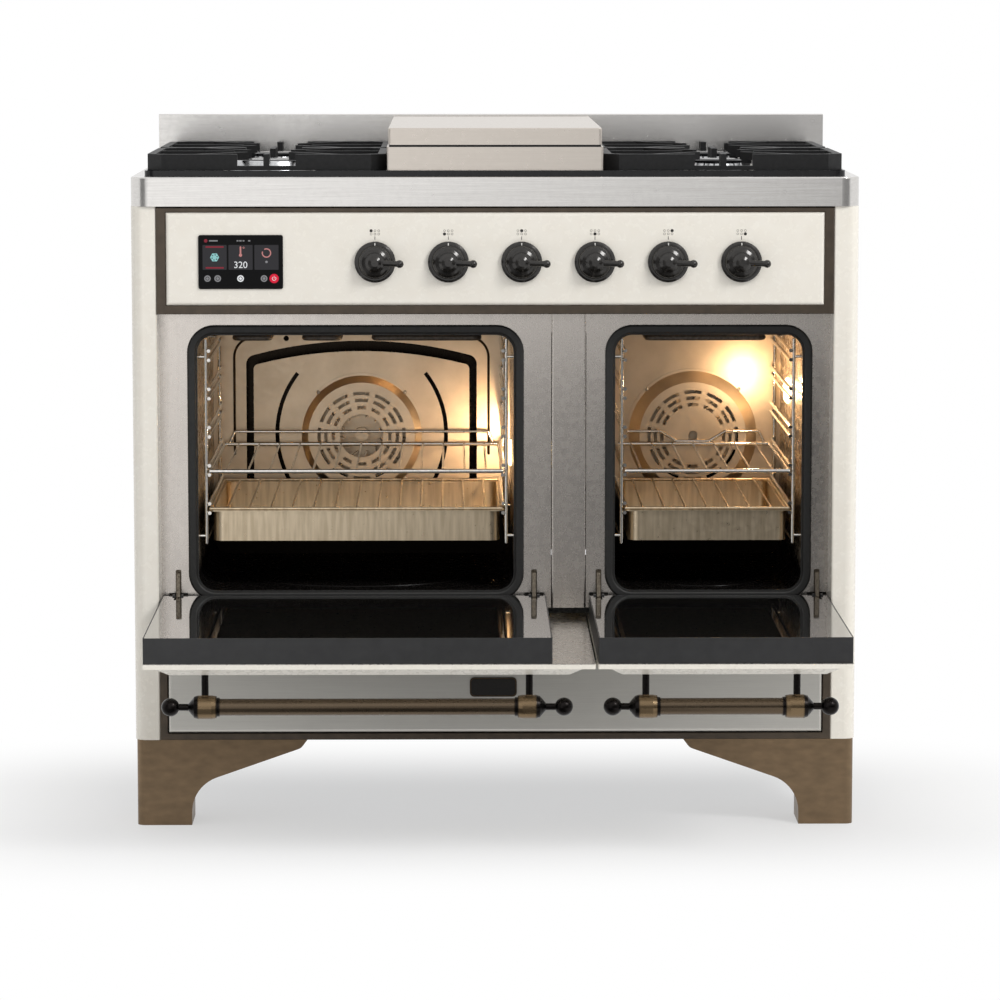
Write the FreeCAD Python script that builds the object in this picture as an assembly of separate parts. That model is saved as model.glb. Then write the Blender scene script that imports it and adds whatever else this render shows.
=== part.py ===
# Free-standing range cooker: two ovens with drop-down doors, a six-tap gas hob with a griddle,
# a storage drawer, and bracket feet.  Millimetres, +Z up, +X to the viewer's right, +Y backwards.
# The origin is on the floor, under the centre of the cooker as it stands with both doors open.
import FreeCAD
import Part

import math
import os

from FreeCAD import Vector

# ---- driving dimensions --------------------------------------------------------------------------
# A rise is a height above the bottom of the carcass; those of the shelves and fans are above
# the cavity floor, and those of the supports and the griddle are above the hob.

body_width = 1000.0
body_depth = 620.0
leg_height = 120.0
carcass_height = 740.0
hob_thickness = 40.0
backguard_height = 69.0
sheet = 1.5
fit_gap = 0.3
shaft_clearance = 0.05

pilaster_width = 35.0
pilaster_corner = 16.0
fold_radius = 3.0
frame_setback = 55.0
rear_inset = 20.0
vent_side_margin = 159.5

hinge_rise = 188.0
hinge_setback = 41.0
door_top_rise = 588.0
door_bottom_rise = 123.0
door_split_step = 2.8
door_gap = 3.5
door_side_gap = 1.0
door_face_offset = 8.0
door_swing_gap = 12.0
door_box_depth = 34.0
door_flange = 7.0
door_bulge = 12.0
door_bevel = 20.0
door_bevel_margin = 12.0
door_box_edge_gap = 3.0
door_box_drop = 2.0
door_glass_thickness = 4.0
door_ledge = 16.0
window_height = 210.0
window_corner = 14.0
window_side_margin = 88.0
window_centre_rise = 380.0

cavity_floor_rise = 202.0
cavity_height = 357.0
cavity_depth = 395.0
right_cavity_width = 260.0
cavity_corner = 24.0
fan_chamber_depth = 40.0
baffle_arch_drop = 39.5
baffle_hole_spread = 111.0
baffle_hole_drop = 36.0
gasket_width = 12.0
gasket_height = 5.2
gasket_lip = 2.0
insulation_thickness = 20.0
insulation_front_step = 75.0

front_plate_bottom_rise = 177.0
front_plate_top_rise = 592.0
front_plate_lap = 7.0
front_plate_fold = 5.0
centre_strip_width = 47.0
centre_seam = 0.8
centre_strip_proud = 1.5

trim_side = 13.0
lower_trim_side = 10.5
trim_bottom = 12.0
trim_depth = 15.0
trim_proud = 1.0
fascia_top_reveal = 8.0
fascia_corner = 1.0
fascia_edge = 5.0
fascia_sheet = 2.0

knob_rise = 664.0
knob_display_gap = 126.0
knob_end_margin = 114.5
knob_count = 6
knob_radius = 28.0
knob_stand_off = 1.0
lever_reach = 34.0
lever_ball = 5.5
lever_tilt = -3.0
tap_shaft_radius = 4.0
tap_body_depth = 38.0
manifold_radius = 9.0
inlet_margin = 60.0
inlet_radius = 10.5
inlet_stub = 15.0
inlet_collar_radius = 13.0
inlet_nut_radius = 16.5
inlet_hole_radius = 14.5
cable_entry_radius = 10.0

display_margin = 103.0
display_size = (116.0, 74.0)
display_proud = 3.0
display_housing_depth = 38.0

drawer_front_top_rise = 109.0
drawer_front_bottom_rise = 10.5
drawer_front_thickness = 20.0
drawer_side_gap = 14.0
drawer_depth = 462.0
drawer_floor_rise = 15.0
drawer_wall_top_rise = 88.0
runner_height = 24.0
runner_base_rise = 40.0
runner_width = 11.0

leg_foot = 76.0
leg_reach = 237.0
leg_side_reach = 150.0
leg_wall = 12.0
leg_inset = 2.0
leg_sweep_radius = 52.0
leg_corner = 11.0
rear_foot_radius = 19.0
rear_foot_inset = 60.0

hob_overhang = 4.0
hob_corner = 25.0
hob_deck = 1.5
tray_side_inset = 18.0
tray_front_inset = 20.0
tray_rear_inset = 22.0
tray_rim_height = 8.0
tray_rim_width = 3.0
tray_floor = 2.0

burner_front_y = 161.0
burner_rear_y = 425.0
wok_radius = 61.0
standard_radius = 45.0
griddle_burner_radius = 42.0
support_top_rise = 30.0
support_clearance = 1.5
support_front_y = 30.0
support_mid_y = 293.0
support_rear_y = 556.0
support_bar = 11.0
support_rail_height = 22.0
support_chamfer = 20.0
support_gap = 80.0
finger_depth = 11.0
finger_reach = 50.0

griddle_half_width = 149.0
griddle_wall = 6.0
griddle_front_inset = 26.0
griddle_rear_inset = 26.0
griddle_wall_top_rise = 40.0
griddle_plate_thickness = 10.0
griddle_plate_bottom_rise = 15.0
lid_gap = 3.0
lid_skirt = 20.0
lid_top_thickness = 3.0
lid_inset = 2.0

handle_bar_radius = 11.0
handle_drop = 35.0
handle_stand_off = 43.0
handle_ball = 12.0
handle_neck = 4.5
ferrule_radius = 15.5
ferrule_length = 34.0
post_radius = 4.75

shelf_pitch = 53.5
first_level_rise = 112.0
level_count = 5
rail_radius = 2.5
guide_radius = 2.5
guide_wall_gap = 10.0
guide_weld = 0.4
guide_foot_rise = 64.0
guide_head_drop = 8.0
shelf_side_gap = 0.6
shelf_frame_radius = 3.0
shelf_wire_radius = 1.5
shelf_wire_pitch = 28.5
shelf_back_rise = 18.5
shelf_back_dip = 4.0
shelf_rear_gap = 14.0
keeper_rise = 13.0
tray_body_depth = 42.0
tray_sheet = 1.5

fan_rise = 177.0
fan_disc_radius = 79.0
fan_opening_radius = 84.0
fan_cover_dish = 9.0
fan_cover_sectors = 12
fan_cover_bridge = 9.0
fan_blade_radius = 68.0
fan_blade_count = 12
fan_motor_radius = 38.0
fan_motor_length = 52.0
element_radius = 4.0
element_drop = 11.0
element_bend = 9.0
lamp_radius = 19.0
hinge_pin_radius = 4.0
hinge_arm_width = 5.0

# ---- places worked out from them -----------------------------------------------------------------

half_width = body_width / 2
hinge_height = leg_height + hinge_rise
door_top = leg_height + door_top_rise
door_bottom = leg_height + door_bottom_rise
window_centre_height = leg_height + window_centre_rise
cavity_floor = leg_height + cavity_floor_rise
front_plate_bottom = leg_height + front_plate_bottom_rise
front_plate_top = leg_height + front_plate_top_rise
knob_height = leg_height + knob_rise
drawer_front_top = leg_height + drawer_front_top_rise
drawer_front_bottom = leg_height + drawer_front_bottom_rise
drawer_floor = leg_height + drawer_floor_rise
drawer_wall_top = leg_height + drawer_wall_top_rise
runner_base = leg_height + runner_base_rise
first_level = cavity_floor + first_level_rise
fan_height = cavity_floor + fan_rise
open_reach = door_top - hinge_height - hinge_setback
front = (open_reach - body_depth) / 2
rear = front + body_depth
frame_y = front + frame_setback
panel_rear = rear - rear_inset
carcass_top = leg_height + carcass_height
hob_top_z = carcass_top + hob_thickness
support_top = hob_top_z + support_top_rise
griddle_wall_top = hob_top_z + griddle_wall_top_rise
griddle_plate_bottom = hob_top_z + griddle_plate_bottom_rise
pilaster_inner = half_width - pilaster_width
right_cavity = (pilaster_inner - 38.0 - right_cavity_width, pilaster_inner - 38.0)
strip_right = right_cavity[0] - 41.0
centre_strip = (strip_right - centre_strip_width, strip_right)
left_cavity = (-pilaster_inner + 52.0, centre_strip[0] - 53.0)
door_split = strip_right + door_split_step
hinge_y = front + hinge_setback
door_face_y = hinge_y + door_face_offset
door_box_y = door_face_y - door_box_depth
door_flange_y = door_box_y - door_flange
door_front_y = door_flange_y - door_bulge
cavity_top = cavity_floor + cavity_height
liner_front = frame_y + sheet
baffle_y = frame_y + cavity_depth
liner_rear = baffle_y + fan_chamber_depth
trim_y = front - trim_proud
trim_rear = trim_y + trim_depth
fascia_x = pilaster_inner - trim_side
fascia_bottom = front_plate_top + trim_bottom
fascia_top = carcass_top - fascia_top_reveal
hob_front = front - hob_overhang
tray_floor_z = hob_top_z + tray_floor
tray_half_width = half_width - tray_side_inset
support_inner_x = griddle_half_width + support_clearance
support_outer_x = tray_half_width - tray_rim_width - fit_gap
burner_x = (support_inner_x + support_outer_x) / 2
drawer_half_width = fascia_x - drawer_side_gap
inlet_x = half_width - inlet_margin
display_x = -fascia_x + display_margin
knob_first_x = display_x + display_size[0] / 2 + knob_display_gap
knob_last_x = fascia_x - knob_end_margin
knob_pitch = (knob_last_x - knob_first_x) / (knob_count - 1)

axis_x = Vector(1, 0, 0)
axis_y = Vector(0, 1, 0)
axis_z = Vector(0, 0, 1)

left_oven = {
    "side": "left",
    "cavity": left_cavity,
    "panel": (-pilaster_inner + door_side_gap, door_split - door_gap / 2),
    "box_margins": (36.0, 30.7),
    "arm_offset": 14.5,
    "handle_shift": -3.0,
    "ball_margin": 37.5,
    "post_margin": 83.0,
    "lamp_drop": 190.0,
    "cover_radius": 93.0,
    "slot_rings": (63.0, 53.0, 42.0),
    "hub_hole": 32.0,
}
right_oven = {
    "side": "right",
    "cavity": right_cavity,
    "panel": (door_split + door_gap / 2, pilaster_inner - door_side_gap),
    "box_margins": (22.0, 22.4),
    "arm_offset": 8.5,
    "handle_shift": -4.0,
    "ball_margin": 24.0,
    "post_margin": 67.5,
    "lamp_drop": 100.0,
    "cover_radius": 99.0,
    "slot_rings": (65.0, 55.5, 46.0),
    "hub_hole": 7.0,
}
for oven in (left_oven, right_oven):
    lip = gasket_width + gasket_lip
    half_panel = (oven["panel"][1] - oven["panel"][0]) / 2
    oven["handle_x"] = sum(oven["panel"]) / 2 + oven["handle_shift"]
    oven["ball_half"] = half_panel - oven["ball_margin"]
    oven["post_half"] = half_panel - oven["post_margin"]
    oven["centre"] = sum(oven["cavity"]) / 2
    oven["gasket"] = (oven["cavity"][0] - lip, oven["cavity"][1] + lip)
    margins = oven["box_margins"]
    oven["box"] = (oven["gasket"][0] - margins[0], oven["gasket"][1] + margins[1])
    oven["arms"] = (oven["gasket"][0] - oven["arm_offset"], oven["gasket"][1] + oven["arm_offset"])
ovens = (left_oven, right_oven)

# ---- shape helpers -------------------------------------------------------------------------------


def block(x, y, z):
    return Part.makeBox(x[1] - x[0], y[1] - y[0], z[1] - z[0], Vector(x[0], y[0], z[0]))


def rod(start, end, radius):
    along = end - start
    return Part.makeCylinder(radius, along.Length, start, along)


def joined(shapes):
    shapes = list(shapes)
    whole = shapes[0].multiFuse(shapes[1:]) if len(shapes) > 1 else shapes[0]
    return whole.removeSplitter()


def mirrored(shape):
    return shape.mirror(Vector(0, 0, 0), axis_x)


def cut(shape, tools):
    tools = list(tools)
    return shape.cut(tools) if tools else shape


# The edges of a path through the points, with an arc of the given radius at each corner.
def rounded_edges(points, radii, closed=False):
    count = len(points)
    if not isinstance(radii, (list, tuple)):
        radii = [radii] * count
    starts, ends, arcs = list(points), list(points), [None] * count
    for i, corner in enumerate(points):
        if (not closed and i in (0, count - 1)) or radii[i] <= 0:
            continue
        before = (corner - points[i - 1]).normalize()
        after = (points[(i + 1) % count] - corner).normalize()
        turn = before.getAngle(after)
        if turn < 1e-6:
            continue
        back = radii[i] * math.tan(turn / 2)
        inward = (after - before).normalize()
        middle = corner + inward * (radii[i] / math.cos(turn / 2) - radii[i])
        starts[i] = corner - before * back
        ends[i] = corner + after * back
        arcs[i] = Part.Arc(starts[i], middle, ends[i]).toShape()
    edges = []
    for i in range(count):
        if arcs[i]:
            edges.append(arcs[i])
        if closed or i < count - 1:
            following = (i + 1) % count
            if (starts[following] - ends[i]).Length > 1e-6:
                edges.append(Part.makeLine(ends[i], starts[following]))
    return edges


def rounded_wire(points, radii):
    return Part.Wire(rounded_edges(points, radii, closed=True))


# A plate with holes, cut from its outline wires and thickened along a vector.
def plate(outline, holes, thickness):
    return Part.makeFace([outline] + list(holes), "Part::FaceMakerBullseye").extrude(thickness)


def front_rectangle(x, z, y, radius):
    corners = [(x[0], z[0]), (x[1], z[0]), (x[1], z[1]), (x[0], z[1])]
    return rounded_wire([Vector(a, y, b) for a, b in corners], radius)


def plan_rectangle(x, y, z, radii):
    corners = [(x[0], y[0]), (x[1], y[0]), (x[1], y[1]), (x[0], y[1])]
    return rounded_wire([Vector(a, b, z) for a, b in corners], radii)


def front_prism(x, z, y, radius):
    return plate(front_rectangle(x, z, y[0], radius), [], Vector(0, y[1] - y[0], 0))


def plan_prism(x, y, z, radii):
    return plate(plan_rectangle(x, y, z[0], radii), [], Vector(0, 0, z[1] - z[0]))


def front_circle(x, z, y, radius):
    return Part.Wire(Part.makeCircle(radius, Vector(x, y, z), axis_y))


def plan_circle(x, y, z, radius):
    return Part.Wire(Part.makeCircle(radius, Vector(x, y, z), axis_z))


def grown(span, by):
    return (span[0] - by, span[1] + by)


# A solid turned about the given direction from (radius, height) points.
def turned(profile, at, direction):
    points = [Vector(0, 0, profile[0][1])]
    points += [Vector(r, 0, h) for r, h in profile]
    points += [Vector(0, 0, profile[-1][1])]
    outline = [p for i, p in enumerate(points) if i == 0 or (p - points[i - 1]).Length > 1e-9]
    face = Part.Face(Part.makePolygon(outline + [outline[0]]))
    solid = face.revolve(Vector(0, 0, 0), axis_z, 360)
    turn = FreeCAD.Rotation(axis_z, direction)
    solid.Placement = FreeCAD.Placement(at, turn)
    return solid


# A round wire that follows straight runs joined by bends.
def bent_rod(points, bend, radius):
    pieces = []
    for edge in rounded_edges(points, bend):
        start, end = edge.valueAt(edge.FirstParameter), edge.valueAt(edge.LastParameter)
        along = edge.tangentAt(edge.FirstParameter)
        if hasattr(edge.Curve, "Radius"):
            centre = edge.Curve.Center
            disc = Part.Face(Part.Wire(Part.makeCircle(radius, start, along)))
            axis = (start - centre).cross(along)
            pieces.append(disc.revolve(centre, axis, math.degrees(edge.Length / edge.Curve.Radius)))
        else:
            pieces.append(rod(start, end, radius))
    return joined(pieces)


# A sheet folded along a path seen in plan, raised to a height.
def folded_sheet(points, radii, thickness, height):
    path = Part.Wire(rounded_edges(points, radii))
    return path.makeOffset2D(thickness, 0, True, True).extrude(Vector(0, 0, height))


def tilted_box(centre, length, width, z, angle):
    half = length / 2
    bar = block((-half, half), (-width / 2, width / 2), z)
    bar.rotate(Vector(0, 0, 0), axis_z, angle)
    bar.translate(Vector(centre[0], centre[1], 0))
    return bar


def save(name, *shapes):
    shape = shapes[0] if len(shapes) == 1 else Part.makeCompound(list(shapes))
    shape.exportStep("parts/" + name + ".step")
    volume = sum(s.Volume for s in shapes)
    solids = sum(len(s.Solids) for s in shapes)
    print(f"{name}: {solids} solids, {volume / 1000:.1f} cm3, valid {shape.isValid()}")


# ---- carcass -------------------------------------------------------------------------------------


# The folded sheet runs from a rear lip along the side, round the front corner, across the
# pilaster and back to the oven front that it carries.
def side_panel():
    path = [
        Vector(half_width - 15.0, panel_rear, leg_height),
        Vector(half_width, panel_rear, leg_height),
        Vector(half_width, front, leg_height),
        Vector(pilaster_inner, front, leg_height),
        Vector(pilaster_inner, frame_y, leg_height),
    ]
    radii = [0, fold_radius, pilaster_corner, fold_radius, 0]
    return folded_sheet(path, radii, sheet, carcass_height)


# A pan with turned-up edges, slotted at the front for the return of each side panel.
def base_pan():
    inner = half_width - sheet - fit_gap
    x = (-inner, inner)
    y = (trim_rear, panel_rear - 2 * sheet)
    shapes = [block(x, y, (leg_height, leg_height + sheet))]
    front_wall = (leg_height, leg_height + 9.0)
    side_wall = (leg_height, leg_height + 25.0)
    shapes.append(block((-pilaster_inner, pilaster_inner), (y[0], y[0] + sheet), front_wall))
    shapes.append(block(x, (y[1] - sheet, y[1]), side_wall))
    slots = []
    for side in (-1, 1):
        wall = sorted((side * inner, side * (inner - sheet)))
        shapes.append(block(wall, (y[0] + pilaster_corner, y[1]), side_wall))
        shapes.append(drawer_runner(side))
        slot = sorted((side * (pilaster_inner - fit_gap), side * (pilaster_inner + sheet + fit_gap)))
        slots.append(block(slot, (y[0] - 1.0, frame_y + fit_gap), grown(front_wall, 1.0)))
    return joined(shapes).cut(slots)


# A channel open towards the drawer, on two posts that stand on the base pan.
def drawer_runner(side):
    web = drawer_half_width + runner_width + 2 * fit_gap + 1.0
    y = (frame_y + 6.0, front + drawer_depth + 60.0)
    z = (runner_base, runner_base + runner_height)
    shapes = [block(sorted((side * web, side * (web + sheet))), y, z)]
    flange = sorted((side * (drawer_half_width + 2.0), side * (web + sheet)))
    shapes.append(block(flange, y, (z[0], z[0] + sheet)))
    shapes.append(block(flange, y, (z[1] - sheet, z[1])))
    for post_y in (y[0] + 30.0, y[1] - 70.0):
        post = sorted((side * web, side * (web + 3.0)))
        shapes.append(block(post, (post_y, post_y + 40.0), (leg_height, z[0] + sheet)))
    return joined(shapes)


def back_panel():
    x = (-half_width + sheet + fold_radius, half_width - sheet - fold_radius)
    y = panel_rear - 2 * sheet
    z = (leg_height + sheet, carcass_top - sheet)
    vents = []
    columns = 9
    pitch = (x[1] - x[0] - 2 * vent_side_margin) / (columns - 1)
    half = 0.32 * pitch
    for bottom in (leg_height + 180.0, carcass_top - 200.0):
        for column in range(columns):
            centre = (column - (columns - 1) / 2) * pitch
            vents.append(front_rectangle((centre - half, centre + half), (bottom, bottom + 9.0), y, 4.0))
    holes = [
        front_circle(inlet_x, knob_height, y, inlet_hole_radius),
        front_circle(-inlet_x, knob_height, y, cable_entry_radius),
    ]
    return plate(front_rectangle(x, z, y, 0), vents + holes, Vector(0, sheet, 0))


def bracket_outline(reach):
    rise = (0.35 * (reach - leg_foot - 9.0)) if reach > 200 else 0.55 * (reach - leg_foot - 9.0)
    knee = leg_height - 12.0
    bend = min(leg_sweep_radius, 0.45 * (reach - leg_foot))
    points = [
        (0, 0),
        (leg_foot, 0),
        (leg_foot, knee - rise),
        (reach - 9.0, knee),
        (reach, leg_height),
        (0, leg_height),
    ]
    return points, [0, 0, bend, 14.0, 0, 0]


# A hollow corner bracket: an ogee front, an ogee side, a foot plate and a bolting flange.
def front_leg():
    outer = half_width - leg_inset
    points, radii = bracket_outline(leg_reach)
    face = rounded_wire([Vector(outer - a, front, b) for a, b in points], radii)
    shapes = [plate(face, [], Vector(0, leg_wall, 0))]
    points, radii = bracket_outline(leg_side_reach)
    face = rounded_wire([Vector(outer, front + a, b) for a, b in points], radii)
    shapes.append(plate(face, [], Vector(-leg_wall, 0, 0)))
    inner = (outer - leg_foot, outer)
    shapes.append(block(inner, (front, front + leg_foot), (0, 8.0)))
    shapes.append(block((outer - leg_foot, outer - leg_foot + 8.0), (front, front + leg_foot), (0, 34.0)))
    shapes.append(block(inner, (front + leg_foot - 8.0, front + leg_foot), (0, 34.0)))
    flange = ((outer - leg_reach + 25.0, outer), (front, front + leg_side_reach - 22.0))
    shapes.append(block(*flange, (leg_height - 6.0, leg_height)))
    leg = joined(shapes)
    upright = [e for e in leg.Edges if abs(e.Length - leg_height) < 1 and e.BoundBox.YMax < front + 1]
    corner = [e for e in upright if abs(e.BoundBox.XMax - outer) < 0.1]
    return leg.makeFillet(leg_corner, corner)


def rear_foot(x):
    profile = [
        (rear_foot_radius + 6.0, 0),
        (rear_foot_radius + 6.0, 6.0),
        (rear_foot_radius - 6.0, 12.0),
        (rear_foot_radius - 6.0, 40.0),
        (rear_foot_radius, 40.0),
        (rear_foot_radius, leg_height - 4.0),
        (rear_foot_radius + 14.0, leg_height - 4.0),
        (rear_foot_radius + 14.0, leg_height),
    ]
    return turned(profile, Vector(x, rear - rear_foot_inset - rear_inset, 0), axis_z)


def trim_ring(x, z, hole_x, hole_z):
    outer = front_rectangle(x, z, trim_y, 0)
    inner = front_rectangle(hole_x, hole_z, trim_y, fascia_corner)
    ring = plate(outer, [inner], Vector(0, trim_depth, 0))
    edges = [e for e in ring.Edges if e.BoundBox.YMax < trim_y + 0.1]
    return ring.makeChamfer(trim_proud * 0.9, edges)


def fascia_trim():
    x = (-pilaster_inner, pilaster_inner)
    hole_x = (-fascia_x, fascia_x)
    return trim_ring(x, (front_plate_top, carcass_top - sheet), hole_x, (fascia_bottom, fascia_top))


# The lower trim is a U: two uprights and the bar under the drawer.
def lower_trim():
    outer = pilaster_inner
    inner = outer - lower_trim_side
    top = door_bottom - door_swing_gap
    bar = leg_height + 9.0
    corners = [
        (-outer, leg_height),
        (outer, leg_height),
        (outer, top),
        (inner, top),
        (inner, bar),
        (-inner, bar),
        (-inner, top),
        (-outer, top),
    ]
    outline = rounded_wire([Vector(a, trim_y, b) for a, b in corners], [0, 0, 0, 0, 2.0, 2.0, 0, 0])
    trim = plate(outline, [], Vector(0, trim_depth, 0))
    edges = [e for e in trim.Edges if e.BoundBox.YMax < trim_y + 0.1]
    return trim.makeChamfer(trim_proud * 0.9, edges)


# ---- ovens ---------------------------------------------------------------------------------------


def oven_front(oven):
    if oven is left_oven:
        x = (-pilaster_inner - front_plate_lap, centre_strip[0] - centre_seam)
    else:
        x = (centre_strip[1] + centre_seam, pilaster_inner + front_plate_lap)
    z = (front_plate_bottom, front_plate_top)
    holes = [front_rectangle(oven["cavity"], (cavity_floor, cavity_top), frame_y, cavity_corner)]
    arm_z = (hinge_height - 8.0, hinge_height + 43.0)
    for arm in oven["arms"]:
        holes.append(front_rectangle((arm - 4.0, arm + 4.0), arm_z, frame_y, 2.0))
    sheet_part = plate(front_rectangle(x, z, frame_y, 0), holes, Vector(0, sheet, 0))
    fold = block(x, (frame_y, frame_y + front_plate_fold), (z[0], z[0] + sheet))
    return joined([sheet_part, fold])


# A folded channel that stands a little proud of the fronts on either side.
def centre_post():
    x = centre_strip
    y = (frame_y - centre_strip_proud, frame_y + 12.0)
    z = (front_plate_bottom, front_plate_top)
    outer = plan_prism(x, y, z, [2.0, 2.0, 0, 0])
    inner = block((x[0] + sheet, x[1] - sheet), (y[0] + sheet, y[1] + 1.0), (z[0] + sheet, z[1] - sheet))
    fold = block((x[0] - 3.0, x[1] + 3.0), (frame_y + sheet, y[1]), (z[1] - 30.0, z[1]))
    return joined([outer.cut(inner), fold])


def oven_liner(oven):
    room_z = (cavity_floor, cavity_top)
    inner = front_prism(oven["cavity"], room_z, (liner_front - 1.0, liner_rear), cavity_corner)
    outer = front_prism(
        grown(oven["cavity"], sheet),
        grown(room_z, sheet),
        (liner_front, liner_rear + sheet),
        cavity_corner + sheet,
    )
    shaft_hole = rod(
        Vector(oven["centre"], liner_rear - 1.0, fan_height),
        Vector(oven["centre"], liner_rear + sheet + 1.0, fan_height),
        tap_shaft_radius + 2.0,
    )
    lamp = lamp_place(oven)
    lamp_hole = rod(lamp - Vector(5, 0, 0), lamp + Vector(5, 0, 0), lamp_radius - 3.0)
    return outer.cut([inner, shaft_hole, lamp_hole])


def lamp_place(oven):
    return Vector(oven["cavity"][1], baffle_y - 150.0, cavity_top - oven["lamp_drop"])


def insulation(oven):
    liner_x = grown(oven["cavity"], sheet)
    liner_z = grown((cavity_floor, cavity_top), sheet)
    y = (liner_front + 1.0, liner_rear)
    outer_x, outer_z = grown(liner_x, insulation_thickness), grown(liner_z, insulation_thickness)
    blanket = front_prism(outer_x, outer_z, y, 40.0)
    core = front_prism(liner_x, liner_z, (y[0] - 1.0, y[1] + 1.0), cavity_corner + sheet)
    blanket = blanket.cut(core)
    keep = block((-half_width, half_width), (y[0], y[1]), (liner_z[0] - 12.0, front_plate_top - 4.0))
    step = block((-half_width, half_width), (y[0] - 1, frame_y + insulation_front_step), (0, liner_z[0]))
    recess = [step]
    for arm in oven["arms"]:
        recess.append(block((arm - 10.0, arm + 10.0), (y[0] - 1, y[0] + 60.0), (0, hinge_height + 60.0)))
    lamp = lamp_place(oven)
    recess.append(rod(lamp, lamp + Vector(40, 0, 0), lamp_radius + 4.0))
    return blanket.common(keep).cut(recess)


def door_gasket(oven):
    outer_z = grown((cavity_floor, cavity_top), gasket_width + gasket_lip)
    radius = cavity_corner + gasket_width + gasket_lip
    outer = front_rectangle(oven["gasket"], outer_z, frame_y - gasket_height, radius)
    inner_x = grown(oven["gasket"], -gasket_width)
    inner_z = grown(outer_z, -gasket_width)
    inner = front_rectangle(inner_x, inner_z, frame_y - gasket_height, radius - gasket_width)
    ring = plate(outer, [inner], Vector(0, gasket_height, 0))
    edges = [e for e in ring.Edges if e.BoundBox.YMax < frame_y - gasket_height + 0.1]
    return ring.makeFillet(gasket_height * 0.6, edges)


def ring_slot(centre, inner, outer, start, end):
    def at(radius, angle):
        return centre + Vector(radius * math.cos(angle), 0, radius * math.sin(angle))

    middle = (start + end) / 2
    return Part.Wire(
        [
            Part.Arc(at(inner, start), at(inner, middle), at(inner, end)).toShape(),
            Part.makeLine(at(inner, end), at(outer, end)),
            Part.Arc(at(outer, end), at(outer, middle), at(outer, start)).toShape(),
            Part.makeLine(at(outer, start), at(inner, start)),
        ]
    )


# A closed outline of arcs and lines: each arc is given by a point on its way.
def traced_wire(points):
    edges = []
    at = points[0]
    k = 1
    while k < len(points):
        if isinstance(points[k], tuple):
            edges.append(Part.Arc(at, points[k][1], points[k + 1]).toShape())
            at = points[k + 1]
            k += 2
        else:
            edges.append(Part.makeLine(at, points[k]))
            at = points[k]
            k += 1
    return Part.Wire(edges)


# One slot that rises at both sides of the baffle and is arched over the top.
def arched_slot(centre_x, top):
    outer, inner = 170.5, 159.5
    foot, crest, crest_width = top - 239.5, top, 15.5

    def at(x, z):
        return Vector(centre_x + x, baffle_y, z)

    points = [
        at(-outer, foot),
        at(-outer, crest - 34.0),
        ("arc", at(-outer + 3.0, crest - 26.0)),
        at(-outer + 11.0, crest - 21.0),
        ("arc", at(0, crest)),
        at(outer - 11.0, crest - 21.0),
        ("arc", at(outer - 3.0, crest - 26.0)),
        at(outer, crest - 34.0),
        at(outer, foot),
        at(inner, foot),
        at(inner, crest - 42.0),
        ("arc", at(inner - 2.0, crest - 37.0)),
        at(inner - 7.0, crest - 34.5),
        ("arc", at(0, crest - crest_width)),
        at(-inner + 7.0, crest - 34.5),
        ("arc", at(-inner + 2.0, crest - 37.0)),
        at(-inner, crest - 42.0),
        at(-inner, foot),
        at(-outer, foot),
    ]
    return traced_wire(points)


# The wide left baffle lets the hot air out through an arched slot and two curved ones.
def fan_baffle(oven):
    x, z = grown(oven["cavity"], -fit_gap), grown((cavity_floor, cavity_top), -fit_gap)
    centre = Vector(oven["centre"], baffle_y, fan_height)
    holes = [front_circle(centre.x, centre.z, baffle_y, fan_opening_radius)]
    if oven is left_oven:
        holes.append(arched_slot(centre.x, cavity_top - baffle_arch_drop))
        for side in (-1, 1):
            bow = centre + Vector(-side * 21.0, 0, 3.0)
            middle = math.pi / 2 - side * math.pi / 2
            holes.append(ring_slot(bow, 143.0, 149.0, middle - 0.66, middle + 0.66))
            hole_x = centre.x + side * baffle_hole_spread
            holes.append(front_circle(hole_x, cavity_top - baffle_hole_drop, baffle_y, 4.0))
    return plate(front_rectangle(x, z, baffle_y, cavity_corner - fit_gap), holes, Vector(0, sheet, 0))


# A dished cover: a rim on the baffle, a wide cone, and a flat disc pierced by rings of slots.
def fan_cover(oven):
    centre = Vector(oven["centre"], baffle_y, fan_height)
    face_y = baffle_y - fan_cover_dish
    middle = Vector(centre.x, face_y, centre.z)
    holes = [front_circle(centre.x, centre.z, face_y, oven["hub_hole"])]
    for ring in oven["slot_rings"]:
        inner, outer = ring - 2.5, ring + 2.5
        bridge = fan_cover_bridge / outer
        for k in range(fan_cover_sectors):
            start = 2 * math.pi * (k + 0.5) / fan_cover_sectors + bridge / 2
            end = start + 2 * math.pi / fan_cover_sectors - bridge
            holes.append(ring_slot(middle, inner, outer, start, end))
    disc = plate(front_circle(centre.x, centre.z, face_y, fan_disc_radius), holes, Vector(0, sheet, 0))
    rim = oven["cover_radius"]
    section = [
        (fan_disc_radius - 1.0, 0),
        (fan_disc_radius, 0),
        (rim - 4.0, fan_cover_dish - sheet),
        (rim, fan_cover_dish - sheet),
        (rim, fan_cover_dish),
        (rim - 5.0, fan_cover_dish),
        (fan_disc_radius - 1.0, sheet),
    ]
    points = [Vector(centre.x + r, face_y + h, centre.z) for r, h in section]
    cone = Part.Face(Part.makePolygon(points + [points[0]])).revolve(centre, axis_y, 360)
    return joined([disc, cone])


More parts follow.
